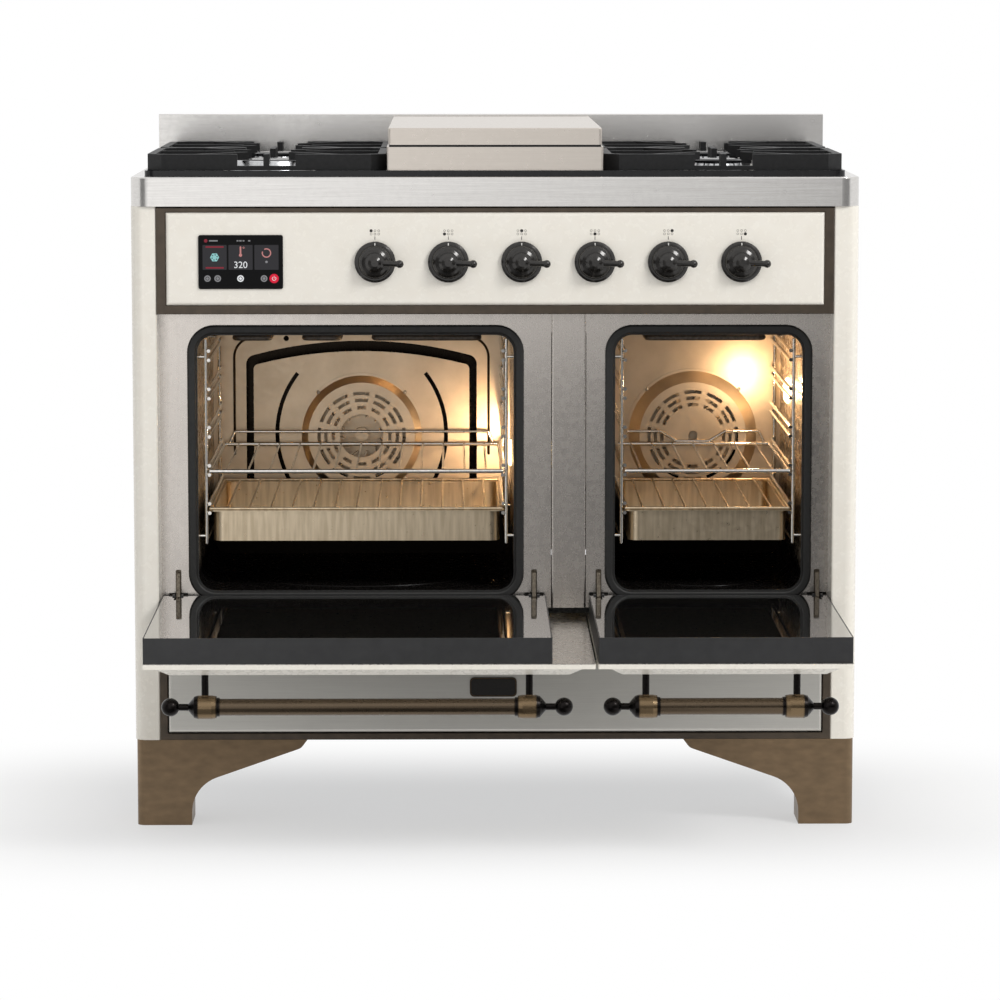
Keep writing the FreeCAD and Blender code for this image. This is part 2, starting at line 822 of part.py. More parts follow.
# A backplate with radial blades on a shaft that runs in the motor behind.
def fan(oven):
    centre = Vector(oven["centre"], 0, fan_height)
    disc_y = liner_rear - 9.0
    blade_depth = 22.0
    hub = [(10.0, 0), (10.0, blade_depth), (tap_shaft_radius, blade_depth), (tap_shaft_radius, 60.0)]
    hub = turned(hub, centre + Vector(0, disc_y - blade_depth, 0), axis_y)
    shapes = [hub]
    disc_start = centre + Vector(0, disc_y - sheet, 0)
    shapes.append(rod(disc_start, disc_start + Vector(0, sheet, 0), fan_blade_radius))
    blade = block((24.0, fan_blade_radius - 2.0), (disc_y - blade_depth, disc_y - sheet / 2), (-0.75, 0.75))
    for k in range(fan_blade_count):
        turned_blade = blade.copy()
        turned_blade.rotate(Vector(45.0, 0, 0), axis_y, 20)
        turned_blade.rotate(Vector(0, 0, 0), axis_y, 360.0 * k / fan_blade_count)
        turned_blade.translate(centre)
        shapes.append(turned_blade)
    return joined(shapes)


def fan_motor(oven):
    start = Vector(oven["centre"], liner_rear + sheet, fan_height)
    profile = [(fan_motor_radius, 0), (fan_motor_radius, 30.0), (24.0, 34.0), (24.0, fan_motor_length)]
    body = turned(profile, start, axis_y)
    bore = rod(start - Vector(0, 1, 0), start + Vector(0, 45.0, 0), tap_shaft_radius + shaft_clearance)
    return body.cut(bore)


# How far each rail and shelf edge stands in from the wall, and how far a rail lies under a shelf.
def rail_inset():
    return guide_wall_gap + guide_radius + rail_radius - guide_weld


def upright_inset():
    return guide_wall_gap + guide_radius + shelf_side_gap


def shelf_inset():
    return upright_inset() + shelf_frame_radius


def rail_drop():
    reach = shelf_frame_radius + rail_radius + fit_gap
    return math.sqrt(reach**2 - (shelf_inset() - rail_inset()) ** 2)


# One side's ladder: an upright loop on studs in the wall, and two rails for each level.
def shelf_guide(oven, side):
    wall = oven["cavity"][1] if side > 0 else oven["cavity"][0]
    x = wall - side * guide_wall_gap
    rail_x = wall - side * rail_inset()
    y = (frame_y + 22.0, baffle_y - 14.0)
    z = (cavity_floor + guide_foot_rise, cavity_top - guide_head_drop)
    stud_heights = (z[0] + 10.0, cavity_top - cavity_corner - 8.0)
    shapes = []
    for upright in y:
        shapes.append(rod(Vector(x, upright, z[0]), Vector(x, upright, z[1]), guide_radius))
        for height in stud_heights:
            shapes.append(rod(Vector(wall, upright, height), Vector(x, upright, height), guide_radius - 0.4))
    for height in z:
        shapes.append(rod(Vector(x, y[0], height), Vector(x, y[1], height), guide_radius))
        for end in y:
            shapes.append(Part.makeSphere(guide_radius, Vector(x, end, height)))
    for level in range(level_count):
        lower = first_level + level * shelf_pitch - rail_drop()
        for height in (lower, lower + keeper_rise):
            start, end = Vector(rail_x, y[0] - 4.0, height), Vector(rail_x, y[1] + 4.0, height)
            shapes.append(rod(start, end, rail_radius))
    return joined(shapes)


# A frame of thick wire with thinner cross wires, and a rail raised at the back.
def wire_shelf(oven):
    z = first_level + shelf_pitch
    x = grown(oven["cavity"], -shelf_inset())
    y = (frame_y + 14.0, baffle_y - shelf_rear_gap)
    shapes = []
    for side_x in x:
        shapes.append(rod(Vector(side_x, y[0], z), Vector(side_x, y[1], z), shelf_frame_radius))
    for end_y in y:
        shapes.append(rod(Vector(x[0], end_y, z), Vector(x[1], end_y, z), shelf_frame_radius))
        for side_x in x:
            shapes.append(Part.makeSphere(shelf_frame_radius, Vector(side_x, end_y, z)))
    dip = []
    if oven is right_oven:
        for along, height in ((-48.0, shelf_back_rise), (-24.0, shelf_back_dip)):
            dip.append((oven["centre"] + along, height))
        for along, height in ((24.0, shelf_back_dip), (48.0, shelf_back_rise)):
            dip.append((oven["centre"] + along, height))
    rail = [(x[0] + 8.0, 0), (x[0] + 16.0, shelf_back_rise)] + dip
    rail += [(x[1] - 16.0, shelf_back_rise), (x[1] - 8.0, 0)]
    shapes.append(bent_rod([Vector(a, y[1], z + b) for a, b in rail], 4.0, 2.0))
    shapes += cross_wires(grown(x, -22.0), y, z)
    return joined(shapes)


def cross_wires(x, y, z):
    count = int((x[1] - x[0]) / shelf_wire_pitch)
    pitch = (x[1] - x[0]) / count
    wires = []
    for k in range(count + 1):
        place = x[0] + k * pitch
        wires.append(rod(Vector(place, y[0], z), Vector(place, y[1], z), shelf_wire_radius))
    return wires


# A pressed tray with a folded rim that runs on the lowest rails.
def drip_tray(oven):
    rim_x = grown(oven["cavity"], -upright_inset())
    rim_z = tray_rim_z()
    body_x = grown(oven["cavity"], -rail_inset() - rail_radius - 2.0)
    y = (frame_y + 14.0, baffle_y - shelf_rear_gap)
    body_y = grown(y, -6.0)
    bottom = rim_z - tray_body_depth
    corner = 14.0
    rim = plan_prism(rim_x, y, (rim_z, rim_z + tray_sheet), corner - 6.0)
    body = plan_prism(body_x, body_y, (bottom, rim_z + tray_sheet), corner)
    inner_x, inner_y = grown(body_x, -tray_sheet), grown(body_y, -tray_sheet)
    hollow = plan_prism(inner_x, inner_y, (bottom + tray_sheet, rim_z + 10.0), corner - tray_sheet)
    return joined([rim, body]).cut(hollow)


def tray_rim_z():
    return first_level - rail_drop() + rail_radius + fit_gap


# The grid that lies in the tray's mouth, on its rim.
def tray_grid(oven):
    radius = 2.0
    z = tray_rim_z() + tray_sheet + radius
    x = grown(oven["cavity"], -rail_inset() - rail_radius + 1.0)
    y = (frame_y + 17.0, baffle_y - shelf_rear_gap - 3.0)
    shapes = []
    for side_x in x:
        shapes.append(rod(Vector(side_x, y[0], z), Vector(side_x, y[1], z), radius))
    for end_y in y:
        shapes.append(rod(Vector(x[0], end_y, z), Vector(x[1], end_y, z), radius))
        for side_x in x:
            shapes.append(Part.makeSphere(radius, Vector(side_x, end_y, z)))
    shapes += cross_wires(grown(x, -24.0), y, z)
    return joined(shapes)


# The grill element under the roof, and the ring element round the fan.
def oven_element(oven):
    z = cavity_top - element_drop
    x = grown(oven["cavity"], -48.0)
    y = (frame_y + 90.0, baffle_y - 60.0)
    points = [Vector(x[0], y[1], cavity_top), Vector(x[0], y[1], z), Vector(x[0], y[0], z)]
    if oven is left_oven:
        loops = 4
        turns = (y[1] - 30.0, y[0])
        for k in range(loops):
            place = x[0] + (k + 1) * (x[1] - x[0]) / (loops + 3)
            points.append(Vector(place, turns[(k + 1) % 2], z))
            points.append(Vector(place, turns[k % 2], z))
    points += [Vector(x[1], y[0], z), Vector(x[1], y[1], z), Vector(x[1], y[1], cavity_top)]
    grill = bent_rod(points, element_bend, element_radius)
    ring_radius = fan_blade_radius + 14.0
    centre = Vector(oven["centre"], baffle_y + 14.0, fan_height)
    ring = Part.makeTorus(ring_radius, element_radius, centre, axis_y)
    stubs = []
    spread = 20.0
    for side in (-1, 1):
        foot = centre + Vector(side * spread, 0, -math.sqrt(ring_radius**2 - spread**2))
        stubs.append(rod(foot, Vector(foot.x, liner_rear, foot.z), element_radius - 1.0))
    return [grill, joined([ring] + stubs)]


def oven_lamp(oven):
    wall = lamp_place(oven)
    lens = [(lamp_radius, 0), (lamp_radius, 2.0), (lamp_radius - 5.0, 6.0)]
    glass = turned(lens, wall, Vector(-1, 0, 0))
    holder = rod(wall, wall + Vector(26.0, 0, 0), lamp_radius - 4.0)
    return joined([glass, holder])


# ---- doors ---------------------------------------------------------------------------------------


def opened(shape):
    turned_shape = shape.copy()
    turned_shape.rotate(Vector(0, hinge_y, hinge_height), axis_x, 90)
    return turned_shape


def box_bottom():
    return hinge_height - door_box_drop


def window_span(oven):
    return grown(oven["panel"], -window_side_margin)


def window_z():
    half = window_height / 2
    return (window_centre_height - half, window_centre_height + half)


# The outer panel: a flange, a bevelled raised field, a window opening, and a hollow back.
def door_panel(oven):
    x, z = oven["panel"], (door_bottom, door_top)
    flange = front_prism(x, z, (door_flange_y, door_box_y), 2.0)
    base = front_rectangle(grown(x, -door_bevel_margin), grown(z, -door_bevel_margin), door_flange_y, 3.0)
    inset = door_bevel_margin + door_bevel
    crown = front_rectangle(grown(x, -inset), grown(z, -inset), door_front_y, 3.0)
    field = Part.makeLoft([base, crown], True, True)
    wall = 2.0
    hollow_x = grown(oven["box"], -8.0)
    hollow_z = (box_bottom() + 8.0, door_top - 14.0)
    hollow = front_prism(hollow_x, hollow_z, (door_flange_y + wall, door_box_y + 1.0), 3.0)
    deep_x = shared_span(hollow_x, grown(x, -inset))
    deep_z = shared_span(hollow_z, grown(z, -inset))
    deeper = front_prism(deep_x, deep_z, (door_front_y + wall, door_box_y + 1.0), 3.0)
    opening = front_prism(window_span(oven), window_z(), (door_front_y - 1.0, door_box_y), window_corner)
    return joined([flange, field]).cut([hollow, deeper, opening])


def shared_span(a, b):
    return (max(a[0], b[0]), min(a[1], b[1]))


def door_window(oven):
    x, z = grown(window_span(oven), 10.0), grown(window_z(), 10.0)
    y = door_front_y + 2.0
    return front_prism(x, z, (y, y + door_glass_thickness), window_corner + 6.0)


# The graphite box behind the panel, with the ledge that holds the inner glass and the two
# channels that carry the hinge pins.
def door_frame(oven):
    x, z = oven["box"], (box_bottom(), door_top - door_box_edge_gap)
    y = (door_box_y, door_face_y)
    wall = 1.5
    outer = front_prism(x, z, y, 2.0)
    inner = front_prism(grown(x, -wall), grown(z, -wall), (y[0] - 1.0, y[1] + 1.0), 0.5)
    shapes = [outer.cut(inner)]
    ledge_y = (y[1] - door_glass_thickness - wall, y[1] - door_glass_thickness)
    ledge = front_prism(grown(x, -wall), grown(z, -wall), ledge_y, 0.5)
    ledge_hole = front_prism(grown(x, -door_ledge), grown(z, -door_ledge), grown(ledge_y, 1.0), 6.0)
    shapes.append(ledge.cut(ledge_hole))
    notches = []
    for arm in oven["arms"]:
        shapes.append(hinge_channel(arm))
        notch_z = (z[0] - 1.0, hinge_height + 41.0)
        notches.append(block((arm - 4.0, arm + 4.0), (hinge_y - 9.0, y[1] + 3.0), notch_z))
    body = joined(shapes).cut(notches)
    pins = []
    for arm in oven["arms"]:
        start = Vector(arm - 6.0, hinge_y, hinge_height)
        pins.append(rod(start, start + Vector(12.0, 0, 0), hinge_pin_radius))
    return joined([body] + pins)


def hinge_channel(arm):
    y = (hinge_y - 11.0, door_face_y - door_glass_thickness)
    z = (box_bottom(), hinge_height + 43.0)
    channel = block((arm - 6.0, arm + 6.0), y, z)
    cap = block((arm - 7.5, arm + 7.5), (door_face_y, door_face_y + 2.0), (z[0], z[0] + 8.0))
    cap_stem = block((arm - 6.0, arm + 6.0), (y[1] - 1.0, door_face_y), (z[0], z[0] + 8.0))
    return joined([channel, cap, cap_stem])


def door_glass(oven):
    x = grown(oven["box"], -1.5 - 0.2)
    z = (box_bottom() + 1.7, door_top - door_box_edge_gap - 1.7)
    pane = front_prism(x, z, (door_face_y - door_glass_thickness, door_face_y - 0.05), 1.0)
    through = (door_face_y - 9.0, door_face_y + 9.0)
    notches = []
    for arm in oven["arms"]:
        notches.append(block((arm - 6.2, arm + 6.2), through, (z[0] - 1.0, box_bottom() + 8.2)))
        notches.append(block((arm - 4.0, arm + 4.0), through, (z[0] - 1.0, hinge_height + 41.0)))
    return pane.cut(notches)


# A turned bar with barrel ferrules, thin necks and ball ends, on two posts.  The bar is one
# turned shape, so its outline is drawn from one ball to the other.
def door_handle(oven):
    z = door_top - handle_drop
    place = Vector(oven["handle_x"], door_front_y - handle_stand_off, z)
    post, ball = oven["post_half"], oven["ball_half"]
    inner, outer = post - ferrule_length / 2, post + ferrule_length / 2
    ball_start = ball - math.sqrt(handle_ball**2 - handle_neck**2)
    half = [
        (inner - 2.0, handle_bar_radius),
        (inner - 2.0, ferrule_radius - 3.0),
        (inner + 2.0, ferrule_radius - 3.0),
        (inner + 2.0, ferrule_radius - 1.0),
        (inner + 8.0, ferrule_radius),
        (outer - 8.0, ferrule_radius),
        (outer - 3.0, ferrule_radius - 1.5),
        (outer + 1.0, ferrule_radius - 6.0),
        (outer + 5.0, handle_neck),
        (ball_start, handle_neck),
    ]
    profile = [(-along, across) for along, across in reversed(half)] + half
    points = [place + Vector(along, 0, across) for along, across in profile]
    edges = [Part.makeLine(start, end) for start, end in zip(points, points[1:])]
    tips = []
    for side, neck in ((-1, points[0]), (1, points[-1])):
        tip = place + Vector(side * (ball + handle_ball), 0, 0)
        edges.append(Part.Arc(neck, place + Vector(side * ball, 0, handle_ball), tip).toShape())
        tips.append(tip)
    edges.append(Part.makeLine(tips[1], tips[0]))
    bar = Part.Face(Part.Wire(Part.__sortEdges__(edges))).revolve(place, axis_x, 360)
    shapes = [bar]
    for side in (-1, 1):
        foot = Vector(place.x + side * post, door_front_y, z)
        shapes.append(rod(foot, foot + Vector(0, -handle_stand_off, 0), post_radius))
    return joined(shapes)


# Each arm stays in its receiver; the door's pin turns in the knuckle at its end.
def hinge_receiver(arm):
    def at(dy, dz):
        return Vector(arm - hinge_arm_width / 2, hinge_y + dy, hinge_height + dz)

    inside = frame_y - hinge_y + 30.0
    knuckle = 6.5
    outline = [
        at(0, -knuckle + 0.5),
        at(inside, -knuckle + 0.5),
        at(inside, 40.0),
        at(10.0, 40.0),
        at(0, 6.0),
    ]
    width = Vector(hinge_arm_width, 0, 0)
    blade = plate(rounded_wire(outline, [0, 0, 0, 5.0, 0]), [], width)
    eye = rod(at(0, 0), at(0, 0) + width, knuckle)
    case_z = (front_plate_bottom + sheet + fit_gap, hinge_height + 46.0)
    case = block((arm - 6.0, arm + 6.0), (frame_y + sheet, frame_y + 40.0), case_z)
    bore_start = at(0, 0) - Vector(1, 0, 0)
    bore = rod(bore_start, bore_start + width + Vector(2, 0, 0), hinge_pin_radius + shaft_clearance)
    return joined([blade, eye, case]).cut(bore)


# ---- controls ------------------------------------------------------------------------------------


def control_fascia():
    x, z = (-fascia_x, fascia_x), (fascia_bottom, fascia_top)
    y = (front - 2.0, trim_rear - 1.0)
    body = front_prism(x, z, y, fascia_corner)
    edges = [e for e in body.Edges if e.BoundBox.YMax < y[0] + 0.1]
    body = body.makeFillet(fascia_edge, edges)
    hollow_y = (y[0] + fascia_sheet, y[1] + 1.0)
    hollow = front_prism(grown(x, -fascia_edge), grown(z, -fascia_edge), hollow_y, 2.0)
    through = (y[0] - 5.0, y[0] + 9.0)
    holes = []
    for knob_x in knob_xs():
        start = Vector(knob_x, through[0], knob_height)
        holes.append(rod(start, start + Vector(0, through[1] - through[0], 0), 6.0))
    half_x, half_z = display_size[0] / 2 - 6.0, display_size[1] / 2 - 6.0
    window_x = (display_x - half_x, display_x + half_x)
    window = block(window_x, through, (knob_height - half_z, knob_height + half_z))
    return body.cut([hollow, window] + holes)


def knob_xs():
    return [knob_first_x + k * knob_pitch for k in range(knob_count)]


def touch_display():
    half_x, half_z = display_size[0] / 2, display_size[1] / 2
    face_y = front - 2.0
    x = (display_x - half_x, display_x + half_x)
    z = (knob_height - half_z, knob_height + half_z)
    bezel = front_prism(x, z, (face_y - display_proud, face_y), 3.0)
    edges = [e for e in bezel.Edges if e.BoundBox.YMax < face_y - display_proud + 0.1]
    bezel = bezel.makeChamfer(1.0, edges)
    housing = block(grown(x, -7.0), (face_y, face_y + display_housing_depth), grown(z, -7.0))
    return joined([bezel, housing])


# A stepped skirt and dome, a lever with a ball on its end, and the shaft into the tap.
def knob(x):
    back = front - 2.0 - knob_stand_off
    profile = [
        (knob_radius - 2.0, 0),
        (knob_radius, 1.5),
        (knob_radius, 5.0),
        (knob_radius - 3.0, 7.0),
        (knob_radius - 5.0, 7.0),
        (knob_radius - 7.0, 10.0),
        (knob_radius - 7.0, 13.0),
        (knob_radius - 10.0, 16.0),
        (14.0, 18.0),
        (13.0, 22.0),
        (9.0, 26.0),
        (5.0, 28.0),
    ]
    place = Vector(x, back, knob_height)
    body = turned(profile, place, Vector(0, -1, 0))
    tilt = math.radians(lever_tilt)
    out = Vector(math.cos(tilt), 0, math.sin(tilt))
    start = place + Vector(0, -20.0, 0) + out * 8.0
    tip = place + Vector(0, -20.0, 0) + out * lever_reach
    lever = Part.makeCone(4.5, 4.0, (tip - start).Length, start, out)
    ball = Part.makeSphere(lever_ball, tip)
    shaft = rod(place - Vector(0, 1.0, 0), Vector(x, tap_face_y() + 22.0, knob_height), tap_shaft_radius)
    return joined([body, lever, ball, shaft])


def tap_face_y():
    return front - 2.0 + fascia_sheet


# Six tap bodies on their supply tube, which runs back to the inlet.
def gas_manifold():
    face = tap_face_y()
    tube_y = face + tap_body_depth
    place = [
        Vector(knob_first_x - 30.0, tube_y, knob_height),
        Vector(inlet_x, tube_y, knob_height),
        Vector(inlet_x, panel_rear, knob_height),
    ]
    shapes = [bent_rod(place, 30.0, manifold_radius)]
    nut_end = 20.0 - 2 * sheet
    fitting = [
        (inlet_nut_radius, 0),
        (inlet_nut_radius, nut_end),
        (inlet_collar_radius, nut_end),
        (inlet_collar_radius, 20.0),
        (inlet_radius, 20.0),
        (inlet_radius, 20.0 + inlet_stub),
    ]
    shapes.append(turned(fitting, Vector(inlet_x, panel_rear - 20.0, knob_height), axis_y))
    bores = []
    for x in knob_xs():
        body_z = (knob_height - 15.0, knob_height + 15.0)
        shapes.append(block((x - 13.0, x + 13.0), (face + 6.0, tube_y), body_z))
        shapes.append(rod(Vector(x, face, knob_height), Vector(x, face + 8.0, knob_height), 10.0))
        outlet = Vector(x, face + 22.0, knob_height)
        shapes.append(rod(outlet, outlet + Vector(0, 0, 28.0), 6.0))
        start = Vector(x, face - 1.0, knob_height)
        bores.append(rod(start, Vector(x, face + 23.0, knob_height), tap_shaft_radius + shaft_clearance))
    bore = Vector(inlet_x, panel_rear + inlet_stub + 1.0, knob_height)
    bores.append(rod(bore - Vector(0, 30.0, 0), bore, inlet_radius - 3.0))
    return joined(shapes).cut(bores)


# ---- hob -----------------------------------------------------------------------------------------


def burners():
    return [
        (-burner_x, burner_front_y, wok_radius),
        (-burner_x, burner_rear_y, standard_radius),
        (burner_x, burner_front_y, standard_radius),
        (burner_x, burner_rear_y, standard_radius),
        (0.0, burner_front_y, griddle_burner_radius),
        (0.0, burner_rear_y, griddle_burner_radius),
    ]


def burner_hole_radius(radius):
    return radius * 0.5 + 4.0


def hob_top():
    x, y = (-half_width, half_width), (hob_front, rear)
    z = (carcass_top, hob_top_z)
    body = plan_prism(x, y, z, [hob_corner, hob_corner, 4.0, 4.0])
    top_edges = [e for e in body.Edges if e.BoundBox.ZMin > z[1] - 0.1]
    body = body.makeFillet(2.0, top_edges)
    inner_corner = hob_corner - hob_deck
    corners = [inner_corner, inner_corner, 2.5, 2.5]
    hollow = plan_prism(grown(x, -hob_deck), grown(y, -hob_deck), (z[0] - 1.0, z[1] - hob_deck), corners)
    holes = []
    for bx, by, radius in burners():
        base = Vector(bx, front + by, z[1] - 5.0)
        holes.append(rod(base, base + Vector(0, 0, 10.0), burner_hole_radius(radius)))
    return body.cut([hollow] + holes)


def hob_tray():
    x = (-tray_half_width, tray_half_width)
    y = (front + tray_front_inset, rear - tray_rear_inset)
    z = (hob_top_z, hob_top_z + tray_rim_height)
    body = plan_prism(x, y, z, [14.0, 14.0, 3.0, 3.0])
    inner_x, inner_y = grown(x, -tray_rim_width), grown(y, -tray_rim_width)
    hollow = plan_prism(inner_x, inner_y, (tray_floor_z, z[1] + 1.0), [11.0, 11.0, 1.0, 1.0])
    holes = []
    for bx, by, radius in burners():
        base = Vector(bx, front + by, z[0] - 5.0)
        holes.append(rod(base, base + Vector(0, 0, 12.0), burner_hole_radius(radius)))
    return body.cut([hollow] + holes)


# A cup under the hob, a flange on the tray and a slotted crown.
def burner_base(x, y, radius, low=False):
    throat = burner_hole_radius(radius) - 2.0
    crown_top = 6.0 if low else 12.0
    profile = [
        (throat - 8.0, -34.0),
        (throat - 8.0, -22.0),
        (throat, -14.0),
        (throat, 0),
        (radius, 0),
        (radius, 2.0),
        (radius - 6.0, 4.0),
        (radius * 0.8, 4.0),
        (radius * 0.72, crown_top),
    ]
    base = turned(profile, Vector(x, front + y, tray_floor_z), axis_z)
    slots = []
    if not low:
        count = 14
        for k in range(count):
            bar = block((radius * 0.55, radius * 0.85), (-1.2, 1.2), (7.0, crown_top + 1.0))
            bar.rotate(Vector(0, 0, 0), axis_z, 360.0 * k / count)
            bar.translate(Vector(x, front + y, tray_floor_z))
            slots.append(bar)
    return cut(base, slots)


def wok_ring():
    section = [(1.0, 0), (4.0, 0), (-1.0, 15.0), (-5.0, 16.0), (-5.0, 14.0)]
    centre = Vector(-burner_x, front + burner_front_y, tray_floor_z)
    outline = [centre + Vector(wok_radius + r, 0, h) for r, h in section]
    return Part.Face(Part.makePolygon(outline + [outline[0]])).revolve(centre, axis_z, 360)


def burner_cap(x, y, radius, low=False):
    seat = tray_floor_z + (6.0 if low else 12.0)
    edge = radius * 0.72
    profile = [(edge + 1.5, 0), (edge + 1.5, 3.0), (edge - 2.0, 5.0), (edge * 0.5, 6.0)]
    if low:
        profile = [(edge, 0), (edge, 3.0)]
    return turned(profile, Vector(x, front + y, seat), axis_z)


# A cast support: a chamfered frame with its front and rear bars broken in the middle, four feet,
# and fingers that point at the burner.
def pan_support(x, y, burner_y):
    rail = (support_top - support_rail_height, support_top)
    c = support_chamfer
    def octagon(inset):
        a, b = grown(x, -inset), grown(y, -inset)
        k = c - 0.42 * inset
        corners = [
            (a[0] + k, b[0]),
            (a[1] - k, b[0]),
            (a[1], b[0] + k),
            (a[1], b[1] - k),
            (a[1] - k, b[1]),
            (a[0] + k, b[1]),
            (a[0], b[1] - k),
            (a[0], b[0] + k),
        ]
        return Part.makePolygon([Vector(p, q, rail[0]) for p, q in corners + [corners[0]]])

    frame = plate(octagon(0), [octagon(support_bar)], Vector(0, 0, support_rail_height))
    centre = (sum(x) / 2, burner_y)
    gap = (centre[0] - support_gap / 2, centre[0] + support_gap / 2)
    notch = [block(gap, grown(y, 1.0), (rail[0] + 6.0, rail[1] + 1.0))]
    frame = frame.cut(notch)
    shapes = [frame]
    for fx in (x[0] + 12.0, x[1] - 12.0):
        for fy in (y[0] + 16.0, y[1] - 16.0):
            shapes.append(rod(Vector(fx, fy, tray_floor_z), Vector(fx, fy, rail[0] + 2.0), 5.0))
    finger_z = (support_top - finger_depth, support_top)
    for side in (-1, 1):
        edge_x = x[1] if side > 0 else x[0]
        span = sorted((edge_x - side * 4.0, centre[0] + side * finger_reach))
        shapes.append(block(span, (centre[1] - 4.0, centre[1] + 4.0), finger_z))
        edge_y = y[1] if side > 0 else y[0]
        span = sorted((edge_y - side * 2.0, edge_y - side * 44.0))
        shapes.append(block((centre[0] - 4.0, centre[0] + 4.0), span, (rail[0], rail[1])))
        for lean in (-1, 1):
            start = Vector(centre[0] + lean * 99.0, edge_y - side * 5.0, 0)
            towards = Vector(centre[0], centre[1], 0) - start
            length = towards.Length - finger_reach
            middle = start + towards.normalize() * (length / 2)
            angle = math.degrees(math.atan2(towards.y, towards.x))
            shapes.append(tilted_box((middle.x, middle.y), length, 8.0, finger_z, angle))
    return joined(shapes)


# The cast griddle with its stainless surround: four walls round a thick plate.
def griddle_plate():
    x = (-griddle_half_width, griddle_half_width)
    y = (front + griddle_front_inset, rear - griddle_rear_inset)
    outer = plan_prism(x, y, (tray_floor_z, griddle_wall_top), 3.0)
    upper = plan_prism(
        grown(x, -griddle_wall),
        grown(y, -griddle_wall),
        (griddle_plate_bottom + griddle_plate_thickness, griddle_wall_top + 1.0),
        6.0,
    )
    under = (tray_floor_z - 1.0, griddle_plate_bottom)
    lower = plan_prism(grown(x, -griddle_wall), grown(y, -griddle_wall), under, 2.0)
    gutter = plan_prism(
        (x[0] + 16.0, x[1] - 16.0),
        (y[0] + 12.0, y[0] + 34.0),
        (griddle_plate_bottom + griddle_plate_thickness - 5.0, griddle_wall_top),
        8.0,
    )
    return outer.cut([upper, lower, gutter])


def griddle_lid():
    x = grown((-griddle_half_width, griddle_half_width), -lid_inset)
    y = (front + griddle_front_inset + lid_inset, rear - griddle_rear_inset - lid_inset)
    z = (griddle_wall_top + lid_gap, griddle_wall_top + lid_gap + lid_skirt + lid_top_thickness)
    shell = plan_prism(x, y, z, 4.0)
    edges = [e for e in shell.Edges if e.BoundBox.ZMin > z[1] - 0.1]
    shell = shell.makeFillet(1.5, edges)
    inside = plan_prism(grown(x, -sheet), grown(y, -sheet), (z[0] - 1.0, z[1] - lid_top_thickness), 2.5)
    seat_out = plan_prism(grown(x, -1.0), grown(y, -1.0), (griddle_wall_top, z[0] + 3.0), 3.0)
    seat_in = plan_prism(grown(x, -4.0), grown(y, -4.0), (griddle_wall_top - 1.0, z[0] + 4.0), 3.0)
    return joined([shell.cut(inside), seat_out.cut(seat_in)])


# A folded upstand across the rear of the hob.
def backguard():
    y = (rear - rear_inset + 4.0, rear)
    z = (hob_top_z, hob_top_z + backguard_height)
    body = block((-half_width, half_width), y, z)
    inside_x = (-half_width - 1.0, half_width + 1.0)
    inside = block(inside_x, (y[0] + sheet, y[1] - sheet), (z[0] - 1.0, z[1] - sheet))
    edges = [e for e in body.Edges if e.BoundBox.ZMin > z[1] - 0.1 and e.BoundBox.XLength > 100]
    return body.makeFillet(1.2, edges).cut(inside)


# ---- drawer --------------------------------------------------------------------------------------


def drawer_box():
    x = (-drawer_half_width, drawer_half_width)
    y = (front + drawer_front_thickness - 4.0, front + drawer_depth)
    z = (drawer_floor, drawer_wall_top)
    shell = block(x, y, z).cut(block(grown(x, -sheet), grown(y, -sheet), (z[0] + sheet, z[1] + 1.0)))
    shapes = [shell]
    for side in (-1, 1):
        rail_x = sorted((side * (drawer_half_width - 1.0), side * (drawer_half_width + runner_width)))
        rail_z = (runner_base + sheet + fit_gap, runner_base + runner_height - sheet - fit_gap)
        shapes.append(block(rail_x, (y[0] + 60.0, y[1]), rail_z))
    return joined(shapes)


def drawer_front():
    inner = pilaster_inner - lower_trim_side - 1.0
    x, z = (-inner, inner), (drawer_front_bottom, drawer_front_top)
    y = (front - 4.0, front - 4.0 + drawer_front_thickness)
    body = front_prism(x, z, y, 1.0)
    edges = [e for e in body.Edges if e.BoundBox.YMax < y[0] + 0.1]
    body = body.makeFillet(fascia_edge, edges)
    hollow = front_prism(grown(x, -7.0), grown(z, -7.0), (y[0] + 3.0, y[1] - sheet), 2.0)
    pull = front_prism((-70.0, 70.0), (z[1] - 14.0, z[1] + 6.0), (y[1] - sheet - 1.0, y[1] + 1.0), 5.0)
    return body.cut([hollow, pull])


# ---- the whole cooker ----------------------------------------------------------------------------

os.makedirs("parts", exist_ok=True)

right_panel = side_panel()
save("side_panel_right", right_panel)
save("side_panel_left", mirrored(right_panel))
save("base_pan", base_pan())
save("back_panel", back_panel())
right_leg = front_leg()
save("front_legs", mirrored(right_leg), right_leg)
rear_foot_x = half_width - rear_foot_inset
save("rear_feet", rear_foot(-rear_foot_x), rear_foot(rear_foot_x))
save("fascia_trim", fascia_trim())
save("lower_trim", lower_trim())

for oven in ovens:
    side = oven["side"]
    save("oven_front_" + side, oven_front(oven))
    save("oven_liner_" + side, oven_liner(oven))
    save("fan_" + side, fan(oven))
    save("wire_shelf_" + side, wire_shelf(oven))
    save("drip_tray_" + side, drip_tray(oven), tray_grid(oven))
    save("door_" + side + "_panel", opened(door_panel(oven)))
    save("door_" + side + "_frame", opened(door_frame(oven)))
    save("door_" + side + "_glass", opened(door_glass(oven)))
    save("door_" + side + "_window", opened(door_window(oven)))
    save("door_" + side + "_handle", opened(door_handle(oven)))
save("oven_front_centre", centre_post())
save("insulation", *[insulation(oven) for oven in ovens])
save("door_gaskets", *[door_gasket(oven) for oven in ovens])
save("fan_baffles", *[fan_baffle(oven) for oven in ovens])
save("fan_covers", *[fan_cover(oven) for oven in ovens])
save("fan_motors", *[fan_motor(oven) for oven in ovens])
save("shelf_guides", *[shelf_guide(oven, s) for oven in ovens for s in (-1, 1)])
